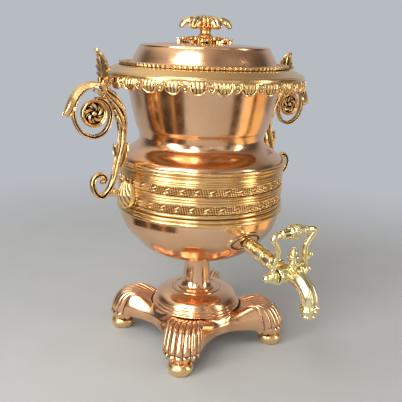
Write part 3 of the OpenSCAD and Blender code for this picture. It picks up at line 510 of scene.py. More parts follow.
def plinth_surface():
    angle, out, flute, edge = plinth_columns()
    beyond = np.clip(np.abs(angle) - edge, 0, None)
    ridge = np.clip(1 - beyond / (FADE_END - edge), 0, 1) ** 1.8
    arch = rim_z + (side_low_z - rim_z) * ramp(beyond, 3) ** 0.6
    down = np.linspace(0, 1, len(CORNER))[:, None]
    (corner_share, corner_z), (side_share, side_z) = CORNER.T[:, :, None], SIDE.T[:, :, None]
    stretch = np.where(corner_z < 0, (seat_z - arch) / (seat_z - rim_z), 1)
    drop = (side_z - ROLL_TOP) / (ROLL_END - ROLL_TOP)
    band = seat_z + ROLL_TOP - drop * (seat_z + ROLL_TOP - arch)
    side_z = np.where(side_z > ROLL_TOP, seat_z + side_z, band)
    z = ridge * (seat_z + corner_z * stretch) + (1 - ridge) * side_z
    share = ridge * corner_share + (1 - ridge) * side_share
    r = seat_ring + share * (out - seat_ring)
    # Round flutes stand between narrow valleys; they swell outwards, and each is pinched
    # over the round toe it ends in
    on_shell = np.isfinite(flute)
    across = np.nan_to_num(flute, nan=0.5)
    wave = np.abs(np.cos(math.pi * FLUTES * across)) ** 0.6
    swell = 0.9 + 1.9 * down ** 1.2
    pinch = bell(z, rim_z + 9, 1.5) * (down > 0.5)
    toe = bell(z, rim_z + 4.5, 2.6) * (down > 0.5)
    start = ramp(down, 0.1)
    lift = wave * (swell * (1 - 0.6 * pinch) + 0.9 * toe) * start * on_shell
    lift = lift - VALLEY * start * np.where(on_shell, 1, np.exp(-beyond / 0.8))
    late = ramp(down - 0.8, 0.2) ** 1.5 * on_shell
    dr, dz = np.gradient(r, axis=0), np.gradient(z, axis=0)
    length = np.maximum(np.hypot(dr, dz), 1e-9)
    r = r + lift * -dz / length
    z = z + lift * dr / length + (6 * (1 - wave) + 3 * (2 * across) ** 2) * late
    return np.radians(angle), r, z


def plinth():
    angle, r, z = plinth_surface()
    inner_r = r - PLINTH_WALL * np.linspace(0.1, 1, len(r))[:, None]
    inner_z = z - PLINTH_WALL * np.linspace(1, 0.0, len(r))[:, None] ** 0.6
    hub = np.linspace(ROD_HOLE, seat_ring, 6, endpoint=False)[:, None] * np.ones_like(angle)
    r = np.concatenate([hub, r, inner_r[::-1], hub[::-1]])
    z = np.concatenate([hub * 0 + seat_z, z, inner_z[::-1], hub * 0 + seat_z - PLINTH_WALL])
    quarters = [round_z(r, angle + q, z) for q in np.radians([45, 135, 225, 315])]
    shell = grid(np.concatenate(quarters, 1), True, True)
    floor = turned(np.array([[3.05, 0], [9, 0], [9, 3], [3.05, 3]]) + [0, foot_h], 48)
    floors = [moved(floor, None, (x * foot_c, y * foot_c, 0)) for x in (-1, 1) for y in (-1, 1)]
    piece("fluted_plinth", "plinth", [shell] + floors, COPPER, 10, 0.7)


def bun_feet():
    line = outline([[0, 0], [0.59, 0]],
                   [[0.83, 0.1], [0.965, 0.29], [1, 0.49], [0.94, 0.68], [0.78, 0.84], [0.62, 0.93]],
                   [[0.58, 0.96], [0.6, 1]], [[0, 1]])
    foot = turned(line * [foot_r, foot_h], 64)
    for row, y in (("front", -1), ("back", 1)):
        for side, x in (("_left", -1), ("_right", 1)):
            piece("turned_foot_" + row + side, "bun_foot_" + row + side,
                  [moved(foot, None, (x * foot_c, y * foot_c, 0))], CAST)


def dome_and_stem():
    h = stem_z - seat_z
    line = outline([[-1, 0], [0, 1.1], [-0.1, 2.2], [-0.9, 3]], [[-1.9, 3.6], [-2.2, 4.4]],
                   [[-1.7, 5.4], [-2.6, 6.5]], [[-3.6, 7.1], [-3.9, 8]], [[-3.3, 9], [-4.2, 10.2]],
                   [[-5.2, 12], [-7.6, 14.6], [-12, 17], [-18, 18.8], [-24, 19.8]],
                   [[-24.6, 20.6], [-26, 20.8], [-26.8, 20.2]],
                   [[-30.5, h], [ROD_HOLE - dome_r, h]], at=(dome_r, seat_z))
    piece("turned_dome", "base_dome", [raised(line)], COPPER, 4, 0.3)
    h, hole = bowl_z - stem_z, 12 - stem_r
    line = outline([[hole, 0], [-3.5, 0]], [[-3, 0.9], [-3.8, 1.8]],
                   [[-5.2, 2.6], [-7, 5], [-8.4, 9], [-9.2, 16], [-10.2, 25], [-10.5, 32],
                    [-10.3, h - 6], [-9.4, h - 3.4]],
                   [[-7.8, h - 2.8], [-6.4, h - 1.9]], [[-3, h - 1.1], [0, h - 0.6]],
                   [[0, h], [hole, h]], at=(stem_r, stem_z))
    piece("turned_stem", "stem", [turned(line, 128)], COPPER, 4, 0.3)


# ---- vessel ----

BOWL = np.array([[0.3254, 0], [0.445, 0.024], [0.553, 0.078], [0.651, 0.147], [0.738, 0.247],
                 [0.813, 0.371], [0.8785, 0.489], [0.933, 0.604], [0.97, 0.724], [0.992, 0.848],
                 [1, 0.97]]) * [bowl_r, belt_z - bowl_z] + [0, bowl_z]


def vessel():
    line = outline([[1, bowl_z], BOWL[0]], BOWL[1:], [[bowl_r, shoulder_z]])
    piece("raised_bowl", "lower_bowl", [raised(line)], COPPER, 2)
    h, rim = body_z - shoulder_z, gallery_r - 5.1 - bowl_r
    line = outline([[-1.6, -10], [-1.6, 0]], [[0, 0.2]],
                   [[0.4, 2], [-1.2, 5], [-4.7, 8], [-9.2, 11], [-13.7, 13.8], [-17.6, 17],
                    [-20.2, 20.5], [-21.2, 24], [-20.9, 28], [-19.6, 32.5], [rim - 12.5, 38.5],
                    [rim - 8.4, 55], [rim - 4.5, 73], [rim - 1, h - 13], [rim, h - 9]],
                   [[rim, h]], at=(bowl_r, shoulder_z))
    piece("raised_body", "upper_body", [raised(line)], COPPER, 2)


# ---- belt ----

def belt():
    back, face, rib = bowl_r + SOLDER, strip_r + 0.4, strip_r + 0.6

    def moulding(name, node, *runs):
        piece(name, node, [turned(np.concatenate(runs))], MOULDING, 3, 0.5)

    z, top = belt_z, strip_low_z
    moulding("belt_foot_moulding", "belt_bottom_moulding",
             [[back, z], [rib + 0.4, z], [rib + 0.4, z + 0.7]],
             reeds(z + 0.7, z + 5, 1, rib + 0.2, 1.9), reeds(z + 5.2, z + 9, 1, rib, 1.7),
             [[rib - 0.5, z + 9.4], [rib - 0.5, z + 10.2]],
             reeds(z + 10.4, top - 0.6, 1, rib - 0.2, 1.0),
             [[face, top - 0.4], [face, top], [back, top]])
    z, top = middle_z, strip_high_z
    moulding("belt_reeded_moulding", "belt_middle_moulding",
             [[back, z], [face, z], [face, z + 0.3]], reeds(z + 0.4, top - 0.4, 3, rib - 0.5, 1.35),
             [[face, top - 0.3], [face, top], [back, top]])
    z, top = top_band_z, belt_top_z
    moulding("belt_shoulder_moulding", "belt_top_moulding",
             [[back, z], [face, z], [face, z + 0.3]], reeds(z + 0.4, z + 6.8, 3, rib - 0.3, 1.05),
             smooth([[rib - 0.3, z + 6.9], [rib - 0.7, z + 8], [rib, z + 9.4]], 4),
             reeds(z + 9.6, top - 5, 1, rib, 1.4),
             smooth([[rib + 0.4, top - 4.9], [rib + 2.6, top - 4.2], [rib + 3.7, top - 2.6],
                     [rib + 3.2, top - 0.9], [rib + 1.6, top], [rib - 0.2, top - 0.4],
                     [bowl_r + 0.9, top - 1]], 5),
             [[bowl_r + 0.9, shoulder_z + 0.4], [back, shoulder_z - 0.6]])


VINE_PERIODS = 37
VINE_PERIOD = 16.0
VINE_DEPTH = 0.9  # from a strip's face down to its ground
GRAPES_END = 10.8  # where the grapes of a period end and its leaf begins
GRAPE_PITCH, GRAPE_RISE = 2.65, 1.8


def vine_pattern(u, v, height):
    """Relief of a strip in mm: grapes in a slanting lattice, then a leaf, within two fillets.
    The grapes lie further apart than real ones, so that each one shows."""
    p = np.mod(u - 0.5 * (v - height / 2), VINE_PERIOD)
    row = np.floor((v - 0.8) / GRAPE_RISE)
    du = np.mod(p + 0.5 * GRAPE_PITCH * np.mod(row, 2), GRAPE_PITCH) - GRAPE_PITCH / 2
    dv = (v - 0.8) - (row + 0.5) * GRAPE_RISE
    dots = half_ball(du ** 2 + (dv / 0.74) ** 2) * 1.1 * (p > 0.2) * (p < GRAPES_END)
    # A leaf curls over above, and a smaller one lies under it
    x, y = p - (GRAPES_END + VINE_PERIOD) / 2, v - height / 2
    lying, standing = x + 0.7 * y, y - 0.35 * x
    upper = half_ball(((x + 0.2) / 2.5) ** 2 + ((standing - 1.4) / 1.35) ** 2)
    lower = half_ball(((lying - 0.2) / 1.9) ** 2 + ((y + 1.9) / 1.2) ** 2)
    veins = 0.25 * np.abs(np.sin(2.6 * lying))
    bloom = np.maximum(upper * (1.1 - veins), lower * 0.7)
    fillet = np.clip(1 - np.minimum(v, height - v) / 0.6, 0, 1) * 0.7
    return np.maximum(np.maximum(dots, bloom), fillet)


def vine_strip(name, node, z0, z1, phase):
    columns = VINE_PERIODS * 60
    u = np.linspace(0, VINE_PERIODS * VINE_PERIOD, columns, endpoint=False) + phase
    v = np.linspace(0, z1 - z0, 30)[:, None]
    r = strip_r - VINE_DEPTH + vine_pattern(u[None], v, z1 - z0)
    r = np.concatenate([r, np.full((2, columns), bowl_r + SOLDER)])
    z = np.concatenate([z0 + v, [[z1], [z0]]])
    piece(name, node, [grid(round_z(r, bearings(columns), z), True, True)], MOULDING, 12, 0.42)


# ---- rim ----

SKIRT_LOBES = 28
GALLERY_LEAVES, GALLERY_H = 112, 4.4


def rim():
    g, body, skirt_top = gallery_r - flange_r, body_z - flange_z, skirt_z - flange_z
    line = outline([[g - 15.6, body], [g - 15.6, 0]], [[g + 1.2, 0]],
                   [[g + 1.8, 0.1], [g + 2.4, -0.3]],
                   [[g + 6, -0.6], [-9.4, -1.8], [-6, -3.9], [-3.2, -5.6]],
                   [[-2, -5.7], [-1.4, -6.5]], [[-0.4, -6.9], [0, -7.8], [-0.2, skirt_top]],
                   [[-3.6, skirt_top]],
                   [[-6.4, -5.8], [-9.4, -3.5], [g + 4.4, -2.4], [g - 3.3, body - 0.2]],
                   [[g - 3.3, body - 8], [g - 5.05, body - 8], [g - 5.05, body]],
                   at=(flange_r, flange_z))
    piece("coved_rim_flange", "rim_flange", [turned(line)], MOULDING, 3, 0.4)


def skirt():
    """Large reeded tongues and small darts, which hang all round the rim"""
    turn = bearings(SKIRT_LOBES * 44)
    r0 = flange_r - 0.2
    pitch = TAU * r0 / SKIRT_LOBES
    x = np.mod(turn * r0 + pitch / 2, pitch) - pitch / 2
    tongue, dart = 8.5, pitch / 2 - 8.5
    dx = pitch / 2 - np.abs(x)
    notch = 4.6
    tongue_h = skirt_z - skirt_low_z - notch
    dart_h = tongue_h - 2.4
    on_tongue = np.abs(x) < tongue
    tongue_low = notch + tongue_h * half_ball((x / tongue) ** 2)
    dart_low = notch + dart_h * np.clip(1 - (dx / dart) ** 2, 0, 1) ** 0.7
    y = np.linspace(0, 1, 18)[:, None] * np.where(on_tongue, tongue_low, dart_low)
    # Height of the relief over the ground
    below = np.clip(y - notch, 0, None)
    inside = tongue - np.hypot(x, below * tongue / tongue_h)
    rib = bell(inside, 0.95, 0.6) * 1.05
    reed = ramp(inside - 2, 1.0) * np.abs(np.cos(math.pi * x / 4.3 * (1 + 0.03 * y))) * 0.8
    small = dart - np.hypot(dx, below * dart / dart_h)
    frame_rib = bell(small, 0.7, 0.45) * 0.8
    berry = half_ball((dx ** 2 + (y - 7.2) ** 2) / 1.3 ** 2)
    curl = bell(np.hypot(dx - 1.6, y - 3.4), 0.9, 0.4) * 0.8
    raised_mm = np.where(on_tongue, rib + reed, np.maximum(np.maximum(frame_rib, berry), curl))
    bulge = np.interp(y, [0, 2.6, 5.4, 8.4, 13.2], [0, 1.0, 1.3, 0.5, -1.0])
    outer = r0 - 0.3 + bulge + raised_mm * ramp(y, 1.2)
    r = np.concatenate([outer, r0 - 1.7 + bulge[::-5]])
    z = skirt_z - np.concatenate([y, y[::-5]])
    piece("scalloped_skirt", "rim_skirt", [grid(round_z(r, turn, z), True, True)], CAST, 7, 0.4)


def gallery():
    """A row of small upright leaves round the lid"""
    columns = GALLERY_LEAVES * 10
    u = np.mod(np.arange(columns) / 10, 1) - 0.5
    y = np.linspace(0, 1, 9)[:, None] * GALLERY_H * (0.9 - 0.3 * np.abs(2 * u) ** 2)
    bloom = 0.4 * half_ball((2.1 * u) ** 2) * ramp(y, 1.2)
    lean = 0.16 * y
    outer = gallery_r - 0.6 + bloom + 0.3 * bell(u, 0, 0.08) + lean
    r = np.concatenate([outer, gallery_r - 1.6 + lean[::-4]])
    z = flange_z + np.concatenate([y, y[::-4]])
    piece("leaf_gallery", "rim_gallery", [grid(round_z(r, bearings(columns), z), True, True)],
          CAST, 5, 0.8)


# ---- lid and finial ----

def lid():
    r, top = lid_foot_r, lid_top_z - flange_z
    edge = r - 11
    line = outline([[0, 0], [LID_SWELL, 0.8], [0.5, 2.6], [-0.4, 3.4]], [[-1.2, 4]],
                   [[-2.6, 7], [-4.6, 11.5], [-7, 16.2], [-9.4, top - 5.8]],
                   [[-9.5, top - 4.6], [-10.7, top - 3.7], [-12.2, top - 3.4]],
                   [[-13.2, top - 3.6], [-14.2, top - 3.1]],
                   [[edge * 0.72 - r, top - 1.7], [edge * 0.5 - r, top - 0.8], [20 - r, top]],
                   [[3.1 - r, top]], at=(r, flange_z))
    piece("raised_lid", "lid_dome", [raised(line)], COPPER, 3, 0.4, "lid")


def finial():
    # The rosette: eight large leaves, eight small ones over the gaps, and a berry in each gap
    h = spool_z - lid_top_z
    hub = turned(outline([[3.1, 0], [14, 0]], [[15.4, 1], [14, 2.4], [10.6, 4.2], [8.4, 5.6]],
                         [[8, h], [3.1, h]]), 64)
    big = leaf([[8, 3.4, 3], [13, 3.4, 5.8], [18, 2.4, 7.6], [23, 1.8, 8], [26.6, 2, 7],
                [29, 2.6, 5.2], [30, 2.9, 3], [30.2, 2.9, 1.2]],
               lobes=3, cut=0.3, cup=-0.1, vein=0.9, thick=1.6, across=22)
    small = leaf([[8, 4, 2.4], [12, 5, 4.4], [16, 5, 5.2], [19.6, 4.2, 4.4], [22, 3.8, 2.4],
                  [22.6, 3.6, 1]], lobes=3, cut=0.26, cup=-0.1, vein=0.8, thick=1.6, across=18)
    berry = moved(turned(ball(2.1, 12), 20), None, (25.4, 0, 3.7))
    solids = [hub] + around(big, 8, 9) + around(small, 8, 31.5) + around(berry, 8, 31.5)
    piece("leaf_rosette", "finial_rosette", [moved(s, None, (0, 0, lid_top_z)) for s in solids],
          CAST, 7, 0.45, "lid")
    h = crown_z - spool_z
    spool = outline([[0, 0], [8, 0]], [[7.4, 1], [6.2, 2.2], [5.7, 4.4], [6.1, 6.4], [8, h]],
                    [[0, h]], at=(0, spool_z))
    pin_low, pin_high = lid_top_z - 9.6, spool_z + 1
    pin = [[0, pin_low], [3, pin_low], [3, pin_high], [0, pin_high]]
    piece("turned_spool", "finial_stem", [turned(spool, 64), turned(pin, 32)], CAST, body="lid")


GADROONS = 16


def crown_leaf(u, v, along):
    """Section of a crown leaf: deeply ribbed and scalloped above, hollow below"""
    ribs = np.abs(np.cos(3.5 * np.arcsin(np.clip(v, -1, 1)))) ** 0.7
    scallop = 0.12 * np.abs(np.sin(math.pi * along / 5.5))
    above = u * (0.72 + 0.42 * ribs - scallop)
    below = 0.5 * u * (1 - 0.5 * (1 - np.abs(v)))
    return np.where(u > 0, above, below), v * (1 - scallop)


def crown():
    """A gadrooned cap over a ring of drooping leaves"""
    turn = bearings(GADROONS * 12)
    wave = np.abs(np.cos(GADROONS * turn / 2)) ** 0.6
    h = top_z - crown_z
    line = smooth([[0, -0.1], [4, -0.3], [8.6, -1.2], [11.6, -3.2], [13, -6], [13.2, -9],
                   [12, -11.4], [9.6, -11], [8, -11.6], [7.2, -h], [0, -h]], 4) + [0, top_z]
    row = np.arange(len(line))[:, None]
    gain = np.interp(row, [0, 4, 14, 24, 30, 40], [0, 1.2, 2.0, 2.4, 0.8, 0])
    droop = np.interp(row, [0, 12, 20, 26, 34, 40], [0, 0, 1.4, 1.6, 0, 0])
    dip = np.interp(row, [0, 3, 8], [0, 0.5, 0])
    cap = grid(round_z(line[:, 0, None] + gain * (wave - 0.7), turn,
                       line[:, 1, None] - droop * wave - dip * (1 - wave)), False, True)
    arch = smooth([[6, h * 0.24, 3, 3], [10.6, h * 0.36, 4.4, 4.8], [15.6, h * 0.45, 5, 6.2],
                   [20, h * 0.38, 5.2, 7], [23.6, h * 0.18, 4.6, 6.8], [25.2, h * 0.02, 3.6, 5.6],
                   [25.6, -1, 2, 3.6]])
    arch = bar(arch + [0, crown_z, 0, 0], crown_leaf, 44)
    piece("leaf_crown", "finial_crown", [cap] + around(arch, 6, 24), CAST, 6, 0.4, "lid")


# ---- handles ----

stem_x = bowl_r + 11
bolt_z = middle("handle_bolts")
scroll_x, scroll_z = middle("volute_rosette_right", X), middle("volute_rosette_right")
rosette_r = high("volute_rosette_right") - scroll_z
leaf_x, leaf_z = stem_x + 20.8, low("handle_leaf_right")
stay_z = middle("stay_nuts")
SCROLL = (scroll_x, scroll_z)
EASE = 14  # length of handle over which one kind of section turns into the next


def on_scroll(degrees, r, *sizes):
    """A row at an angle and a distance from the middle of the large scroll"""
    a = math.radians(degrees)
    return [scroll_x + r * math.cos(a), scroll_z + r * math.sin(a), *sizes]


def handle_rows():
    """Rows of x, z, half thickness and half width: lower scroll, stem, then the large scroll"""
    low_scroll = [[22, 13, 1.6, 2.2], [19.4, 12.2, 2, 2.6], [18.4, 15.6, 2.4, 3.2],
                  [21.6, 19.8, 2.7, 3.6], [27, 20.2, 2.9, 3.8], [31.8, 16.4, 3, 4],
                  [33, 9.6, 3, 4.2], [30.2, 2.2, 3, 4.2], [24, -2.8, 3.1, 4.2],
                  [17.4, 0.6, 3.1, 4.2], [12.4, 7.4, 3.2, 4.2], [9, 16, 3.4, 4.2],
                  [6.6, 26, 3.6, 4.2], [3, 39, 4, 4.3]]
    stem = [[0, -35, 4.5, 4.6], [-1, -26, 4.7, 4.4], [-1.4, -18, 5.1, 4.6], [-0.2, -8, 5.6, 5],
            [2.4, 2, 5.8, 5.2], [7, 11, 5.4, 5], [13.6, 19, 4.6, 4.6]]
    scroll = [[105, 28.2], [84, 27.2], [60, 25], [30, 22.6], [0, 21.6], [-30, 21.8], [-60, 23],
              [-90, 23.6], [-120, 22.4], [-150, 19.8], [-180, 18.2], [-210, 16.8], [-240, 15.6],
              [-262, 14.2]]
    return smooth(np.concatenate([np.add(low_scroll, [stem_x, bolt_z, 0, 0]),
                                  np.add(stem, [stem_x, scroll_z, 0, 0]),
                                  [on_scroll(a, r, 2.2, 3.6) for a, r in scroll]]), 9)


def handle_section(u, v, along):
    """Section of the handle: a hollow band with a bead on each edge in the scrolls, a fluted
    stem, and a chased leaf with slanting veins from the upper stem to the top of the arch"""
    hollow = 0.42 * bell(u, 0, 0.4)
    chased = ramp(along - 122, EASE) * ramp(200 - along, EASE)
    fluted = ramp(along - 60, EASE) * ramp(138 - along, EASE)
    fold = np.abs(np.sin(math.pi * (along / 24 + 1.5 * u))) ** 0.6
    notch = np.abs(np.sin(math.pi * (along / 8.5 + 0.5))) ** 0.5
    edge = ramp(np.abs(u) - 0.55, 0.45)
    swell = 1 + chased * (0.5 * (fold - 0.6) * (1 - edge) + 0.24 * edge * (notch - 0.3))
    swell = swell * (1 - fluted * 0.26 * np.abs(np.sin(3.5 * np.arctan2(v, u))) ** 1.5)
    return np.abs(u) ** 0.75 * np.sign(u) * swell, v * (1 - hollow * (1 - chased - fluted)) * swell


def handle_solids():
    """The right-hand handle: scroll, rosette ring, spur leaf, collar leaves and bolt boss"""
    a = bearings(12)
    ring = turned(np.stack([rosette_r + 1 + 1.1 * np.cos(a), 3.4 * np.sin(a)], 1), 96)
    # The long sheath over the outside of the scroll, down to its spur
    spur = leaf([on_scroll(*row) for row in (
        (100, 30.4, 3.4), (82, 31.6, 4.6), (62, 31.4, 5), (42, 30.4, 5.1), (24, 29.8, 5),
        (9, 31, 3.8), (1.5, 33, 1.8), (-1, 33.5, 0.6))],
        lobes=3, cut=0.06, cup=-0.3, vein=0.25, thick=3.6, across=22)
    lip = leaf([[-1, 24.4, 2.4], [-6, 22.4, 3.6], [-11.4, 18.6, 3.8], [-14, 15.4, 2.6],
                [-13.4, 12.8, 1.2]], lobes=3, cut=0.16, cup=0.2, vein=-0.4, thick=-2.4, at=SCROLL)
    under = leaf([[22, 8, 3.4], [26, 2, 3.8], [28.6, -0.6, 2.6], [29.4, -1.4, 1.0]],
                 lobes=3, cut=0.2, cup=-0.2, vein=0.3, thick=1.6, at=SCROLL)
    collar = (stem_x, scroll_z - 35)
    out_leaf = leaf([[3.4, -22, 2.6], [5, -13, 3.8], [5.2, -5, 4.2], [6.4, 0.6, 3.2],
                     [9.2, 2.6, 1.6]], lobes=3, cut=0.12, cup=-0.25, vein=0.35, thick=1.4, at=collar)
    in_leaf = leaf([[1.4, -22, 2.4], [-2.6, -13, 3.6], [-4.2, -5, 4], [-5.4, 1, 3], [-8, 3.4, 1.4]],
                   lobes=3, cut=0.12, cup=0.25, vein=-0.35, thick=-1.4, at=collar)
    saddle = bar(np.add([[-2.2, -9, 3, 4], [-0.2, -3, 3.6, 4.2], [0, 0, 3.2, 4]],
                        [leaf_x, leaf_z, 0, 0]))
    boss = turned(outline([[0, 0], [4.4, 0]], [[4.8, 2], [4, 4], [3.4, 8.4]], [[0, 8.4]]), 40)
    eye = turned([[0, -2.6], [1.6, -2.4], [2.6, -1], [2.6, 1], [1.6, 2.4], [0, 2.6]], 32)
    return [bar(handle_rows(), handle_section, 64), moved(ring, FACING, (scroll_x, 0, scroll_z)),
            spur, lip, under, out_leaf, in_leaf, saddle,
            moved(boss, LYING, (bowl_r + 18.8, 0, bolt_z)),
            moved(eye, FACING, (stem_x + 22.4, 0, bolt_z + 12.8))]


def acanthus_solids():
    """The upright acanthus leaf, with its tip turned outwards"""
    blade = leaf([[-0.6, -1, 6], [-0.8, 4, 10.4], [-0.6, 10, 15], [0, 16, 14.6], [0.8, 22, 10.4],
                  [2.2, 27, 6.6], [4.8, 31, 3.4], [8, 32.6, 1.3]], lobes=6, cut=0.24, cup=0.08,
                 vein=0.8, thick=1.8, across=30, steps=12, at=(leaf_x, leaf_z))
    return [blade, bar(np.add([[-0.4, 0, 2.6, 4.4], [-0.4, 3, 2.2, 4.8]], [leaf_x, leaf_z, 0, 0]))]


def rosette_solids():
    """Carved flower in the eye of the large scroll, the same on both faces"""
    turn = bearings(120)
    s = np.linspace(0, 1, 18)[:, None]
    petals = np.clip(np.cos(5 * turn + 6.5 * s), 0, 1) ** 0.8
    dome = 1.7 * np.sin(math.pi * ramp(s - 0.18, 0.72)) * (0.1 + 0.9 * petals)
    crease = 0.4 * np.abs(np.sin(10 * turn + 13 * s)) * (s > 0.3) * (s < 0.85)
    knob = 2.7 * half_ball((s / 0.22) ** 2)
    face = 1.0 + np.maximum(np.maximum(dome - crease, knob), 1.3 * bell(s, 0.96, 0.04))
    front, back = (round_z(s * rosette_r, turn, side * face) for side in (1, -1))
    disc = grid(np.concatenate([front, back[::-1]]), False, True)
    return [moved(disc, FACING, (scroll_x, 0, scroll_z))]


def shell_plate_solids():
    """The shell leaf on the belt: rays spread from under the stem to a pointed tip"""
    s = np.linspace(0, 1, 60)[:, None]
    v = np.linspace(-1, 1, 96)[None]
    z = bolt_z + 11 - 31.5 * s
    y = np.interp(s, [0, 0.06, 0.25, 0.5, 0.72, 0.9, 1], [3, 8, 12.4, 13.6, 11, 5.6, 0.6]) * v
    belt_x = np.sqrt(np.clip((strip_r + 1.6) ** 2 - y ** 2, 0, None))
    crown_x = np.interp(s, [0, 0.2, 0.45, 0.7, 0.88, 1], [4, 9, 12.6, 11, 7, 2])
    rise = crown_x * np.clip(1 - np.abs(v) ** 1.2, 0, 1) ** 0.7
    fan = np.arctan2(y, np.abs(z - (bolt_z + 17)))
    inner = ramp(0.88 - np.abs(v), 0.06) * ramp(0.9 - s, 0.06)
    rays = (2.4 * np.abs(np.cos(fan * 20)) ** 0.6 - 2.4) * ramp(s, 0.12) * inner
    lip = np.maximum(1.7 * bell(np.abs(v), 0.93, 0.06), 1.4 * bell(s, 0.93, 0.035))
    face, back = surface(belt_x + rise + rays + lip + 0.5, y, z), surface(belt_x, y, z)
    return [capped(np.concatenate([face, back[:, ::-1]], 1))]


def stay_solids():
    """Turned stay between the skirt and the leaf, with a ball in its middle"""
    x0 = flange_r + 1.9
    end = leaf_x - x0
    line = outline([[0, -8], [2, -8]], [[2, 0]],
                   [[3, 0.5], [3.9, 2.2], [4, 3.8], [3.2, 5.6], [1.9, 6.4]],
                   [[2.6, 7.2], [2.7, 8.6], [1.9, 9.6]], [[2, end - 2.6]], [[2, end + 3]],
                   [[2.8, end + 3.2], [2.4, end + 4.4], [0, end + 4.6]], at=(0, x0))
    return [moved(turned(line, 40), LYING, (0, 0, stay_z))]


def handles():
    for side, turn in (("right", None), ("left", MIRROR)):
        for name, node, make, reach, depth in (
                ("scroll_handle_", "handle_", handle_solids, 7, 0.3),
                ("acanthus_leaf_", "handle_leaf_", acanthus_solids, 7, 0.3),
                ("carved_rosette_", "volute_rosette_", rosette_solids, 7, 0.16),
                ("shell_plate_", "handle_plate_", shell_plate_solids, 8, 0.24),
                ("turned_stay_", "rim_stay_", stay_solids, 4, 0.5)):
            piece(name + side, node + side, [moved(s, turn) for s in make()], CAST, reach, depth)


# ---- tap ----

TAP_FALL = 10.5  # degrees by which the tube falls
TAP = about(X, TAP_FALL - 90)
BEND_R = 22
tap_at = (0, barrel_y, barrel_z)
# Distance along the tube from the barrel to the bowl's skin, which is a little inside its widest
root = (-barrel_y - bowl_r * 0.94) / math.cos(math.radians(TAP_FALL))
outlet_z = low("tap_body")
finial_y = middle("tap_finial", Y)
bend_y = barrel_y - 10
tip_y = bend_y - BEND_R


def spout_solid():
    """The bent spout: two rounded ridges run down its front"""
    quarter = math.pi / 2
    a = bearings(48)
    path = [(barrel_y + 2, barrel_z, 0.0)]
    path += [(bend_y - BEND_R * math.sin(q), barrel_z - BEND_R * (1 - math.cos(q)), q)
             for q in np.linspace(0, quarter, 30)]
    path += [(tip_y, z, quarter) for z in np.linspace(barrel_z - BEND_R, outlet_z + 4, 6)[1:]]
    ridges = 1.2 * bell(np.abs(a - quarter), 0.5, 0.26) - 0.9 * bell(a, quarter, 0.2)
    rings = []
    for (y, z, q), share in zip(path, np.linspace(0, 1, len(path))):
        r = 8 - 1.1 * share + ridges * min(1, share * 3)
        out = r * np.sin(a)
        rings.append(surface(r * np.cos(a), y - out * math.sin(q), z + out * math.cos(q)))
    return capped(np.array(rings))


def tap_body():
    tube = outline([[0, -4], [8, -4], [8, 12]], [[8.8, 12.8], [8.9, 14.4], [8.1, 15.4]],
                   [[7.8, 18], [8.3, 22], [8.5, 26], [8.3, 30], [7.8, 33]],
                   [[8.3, 33.7], [8.3, 34.9], [7.6, 35.7]],
                   [[8, 38.6], [8.3, 42], [8.1, 46], [7.5, root - 15]],
                   [[8, root - 14.3], [8, root - 13.2], [7.3, root - 12.4]],
                   [[7.6, root - 9], [7.1, root - 4]], [[6, root - 2]],
                   [[6, root + 17]], [[0, root + 17]])
    drum = outline([[0, -16], [8.2, -16]], [[9, -15.2], [8.8, -13.6]], [[7.9, -13], [7.6, -11.6]],
                   [[8.4, -8], [9.2, -4], [9.4, 0], [9.2, 4], [8.4, 8], [7.6, 11.6]],
                   [[7.9, 13], [8.8, 13.6]], [[9, 15.2], [8.2, 16]], [[0, 16]])
    nozzle = outline([[0, 0], [4.2, 0], [4.2, 0.4]], [[6.6, 0]], [[7.3, 0.6], [7.4, 2], [7, 3]],
                     [[7.6, 4.6], [7.8, 6]], [[8.8, 6.6], [9.3, 7.8], [8.9, 9.2], [8, 9.8]],
                     [[8.5, 10.8], [8.1, 12], [7.2, 12.8]], [[0, 12.8]])
    neck = outline([[0, 0], [4.6, 0], [4.6, 7.4]], [[3.8, 8.4], [3.7, 10]], [[4.6, 11], [4.6, 13.4]],
                   [[0, 13.4]])
    solids = [moved(turned(tube, 72), TAP, tap_at), moved(turned(drum, 72), LYING, tap_at),
              moved(turned(ball(10, 24), 48), None, (0, barrel_y - 1, barrel_z)), spout_solid(),
              moved(turned(nozzle, 64), None, (0, tip_y, outlet_z)),
              moved(turned(neck, 40), None, (0, finial_y, barrel_z))]
    bead = turned(ball(2.3, 14), 24)
    solids += [moved(bead, None, (x, tip_y - 8, outlet_z + 11.4)) for x in (-3, 3)]
    piece("turned_tap", "tap_body", solids, PALE, 5, 0.7)
    line = outline([[0, 0], [4.4, 0]], [[4.2, 0.9], [3.1, 1.8], [3, 3.2], [4, 4.2]],
                   [[5.6, 5], [6, 6.6], [5.8, 7.8], [4.6, 8.8]], [[3.4, 9.2], [3, 9.8]],
                   [[3.9, 10.6], [3.8, 11.8], [2.4, 13.6], [1.4, 14.6]],
                   [[2, 15.4], [1.9, 16.6], [1.1, 17.3], [0, 17.4]])
    pin = [[0, -5], [2.5, -5], [2.5, 1], [0, 1]]
    solids = [moved(s, None, (0, finial_y, barrel_z + 13.4)) for s in (turned(line, 48),
                                                                       turned(pin, 24))]
    piece("turned_tap_finial", "tap_finial", solids, PALE, 4)


def bowl_surface(y_out, side, along):
    """Point of the bowl's skin hit by a line parallel to the tap's tube"""
    origin = np.asarray(tap_at) + side * TAP[:, 0] + along * TAP[:, 1]
    heading = TAP[:, 2]
    curve = np.concatenate([BOWL, [[bowl_r, shoulder_z]]])
    near, far = 30.0, 130.0
    for _ in range(40):
        mid = (near + far) / 2
        p = origin + heading * mid
        skin = np.interp(p[2], curve[:, 1], curve[:, 0])
        near, far = (mid, far) if math.hypot(p[0], p[1]) > skin + y_out else (near, mid)
    return origin + heading * near


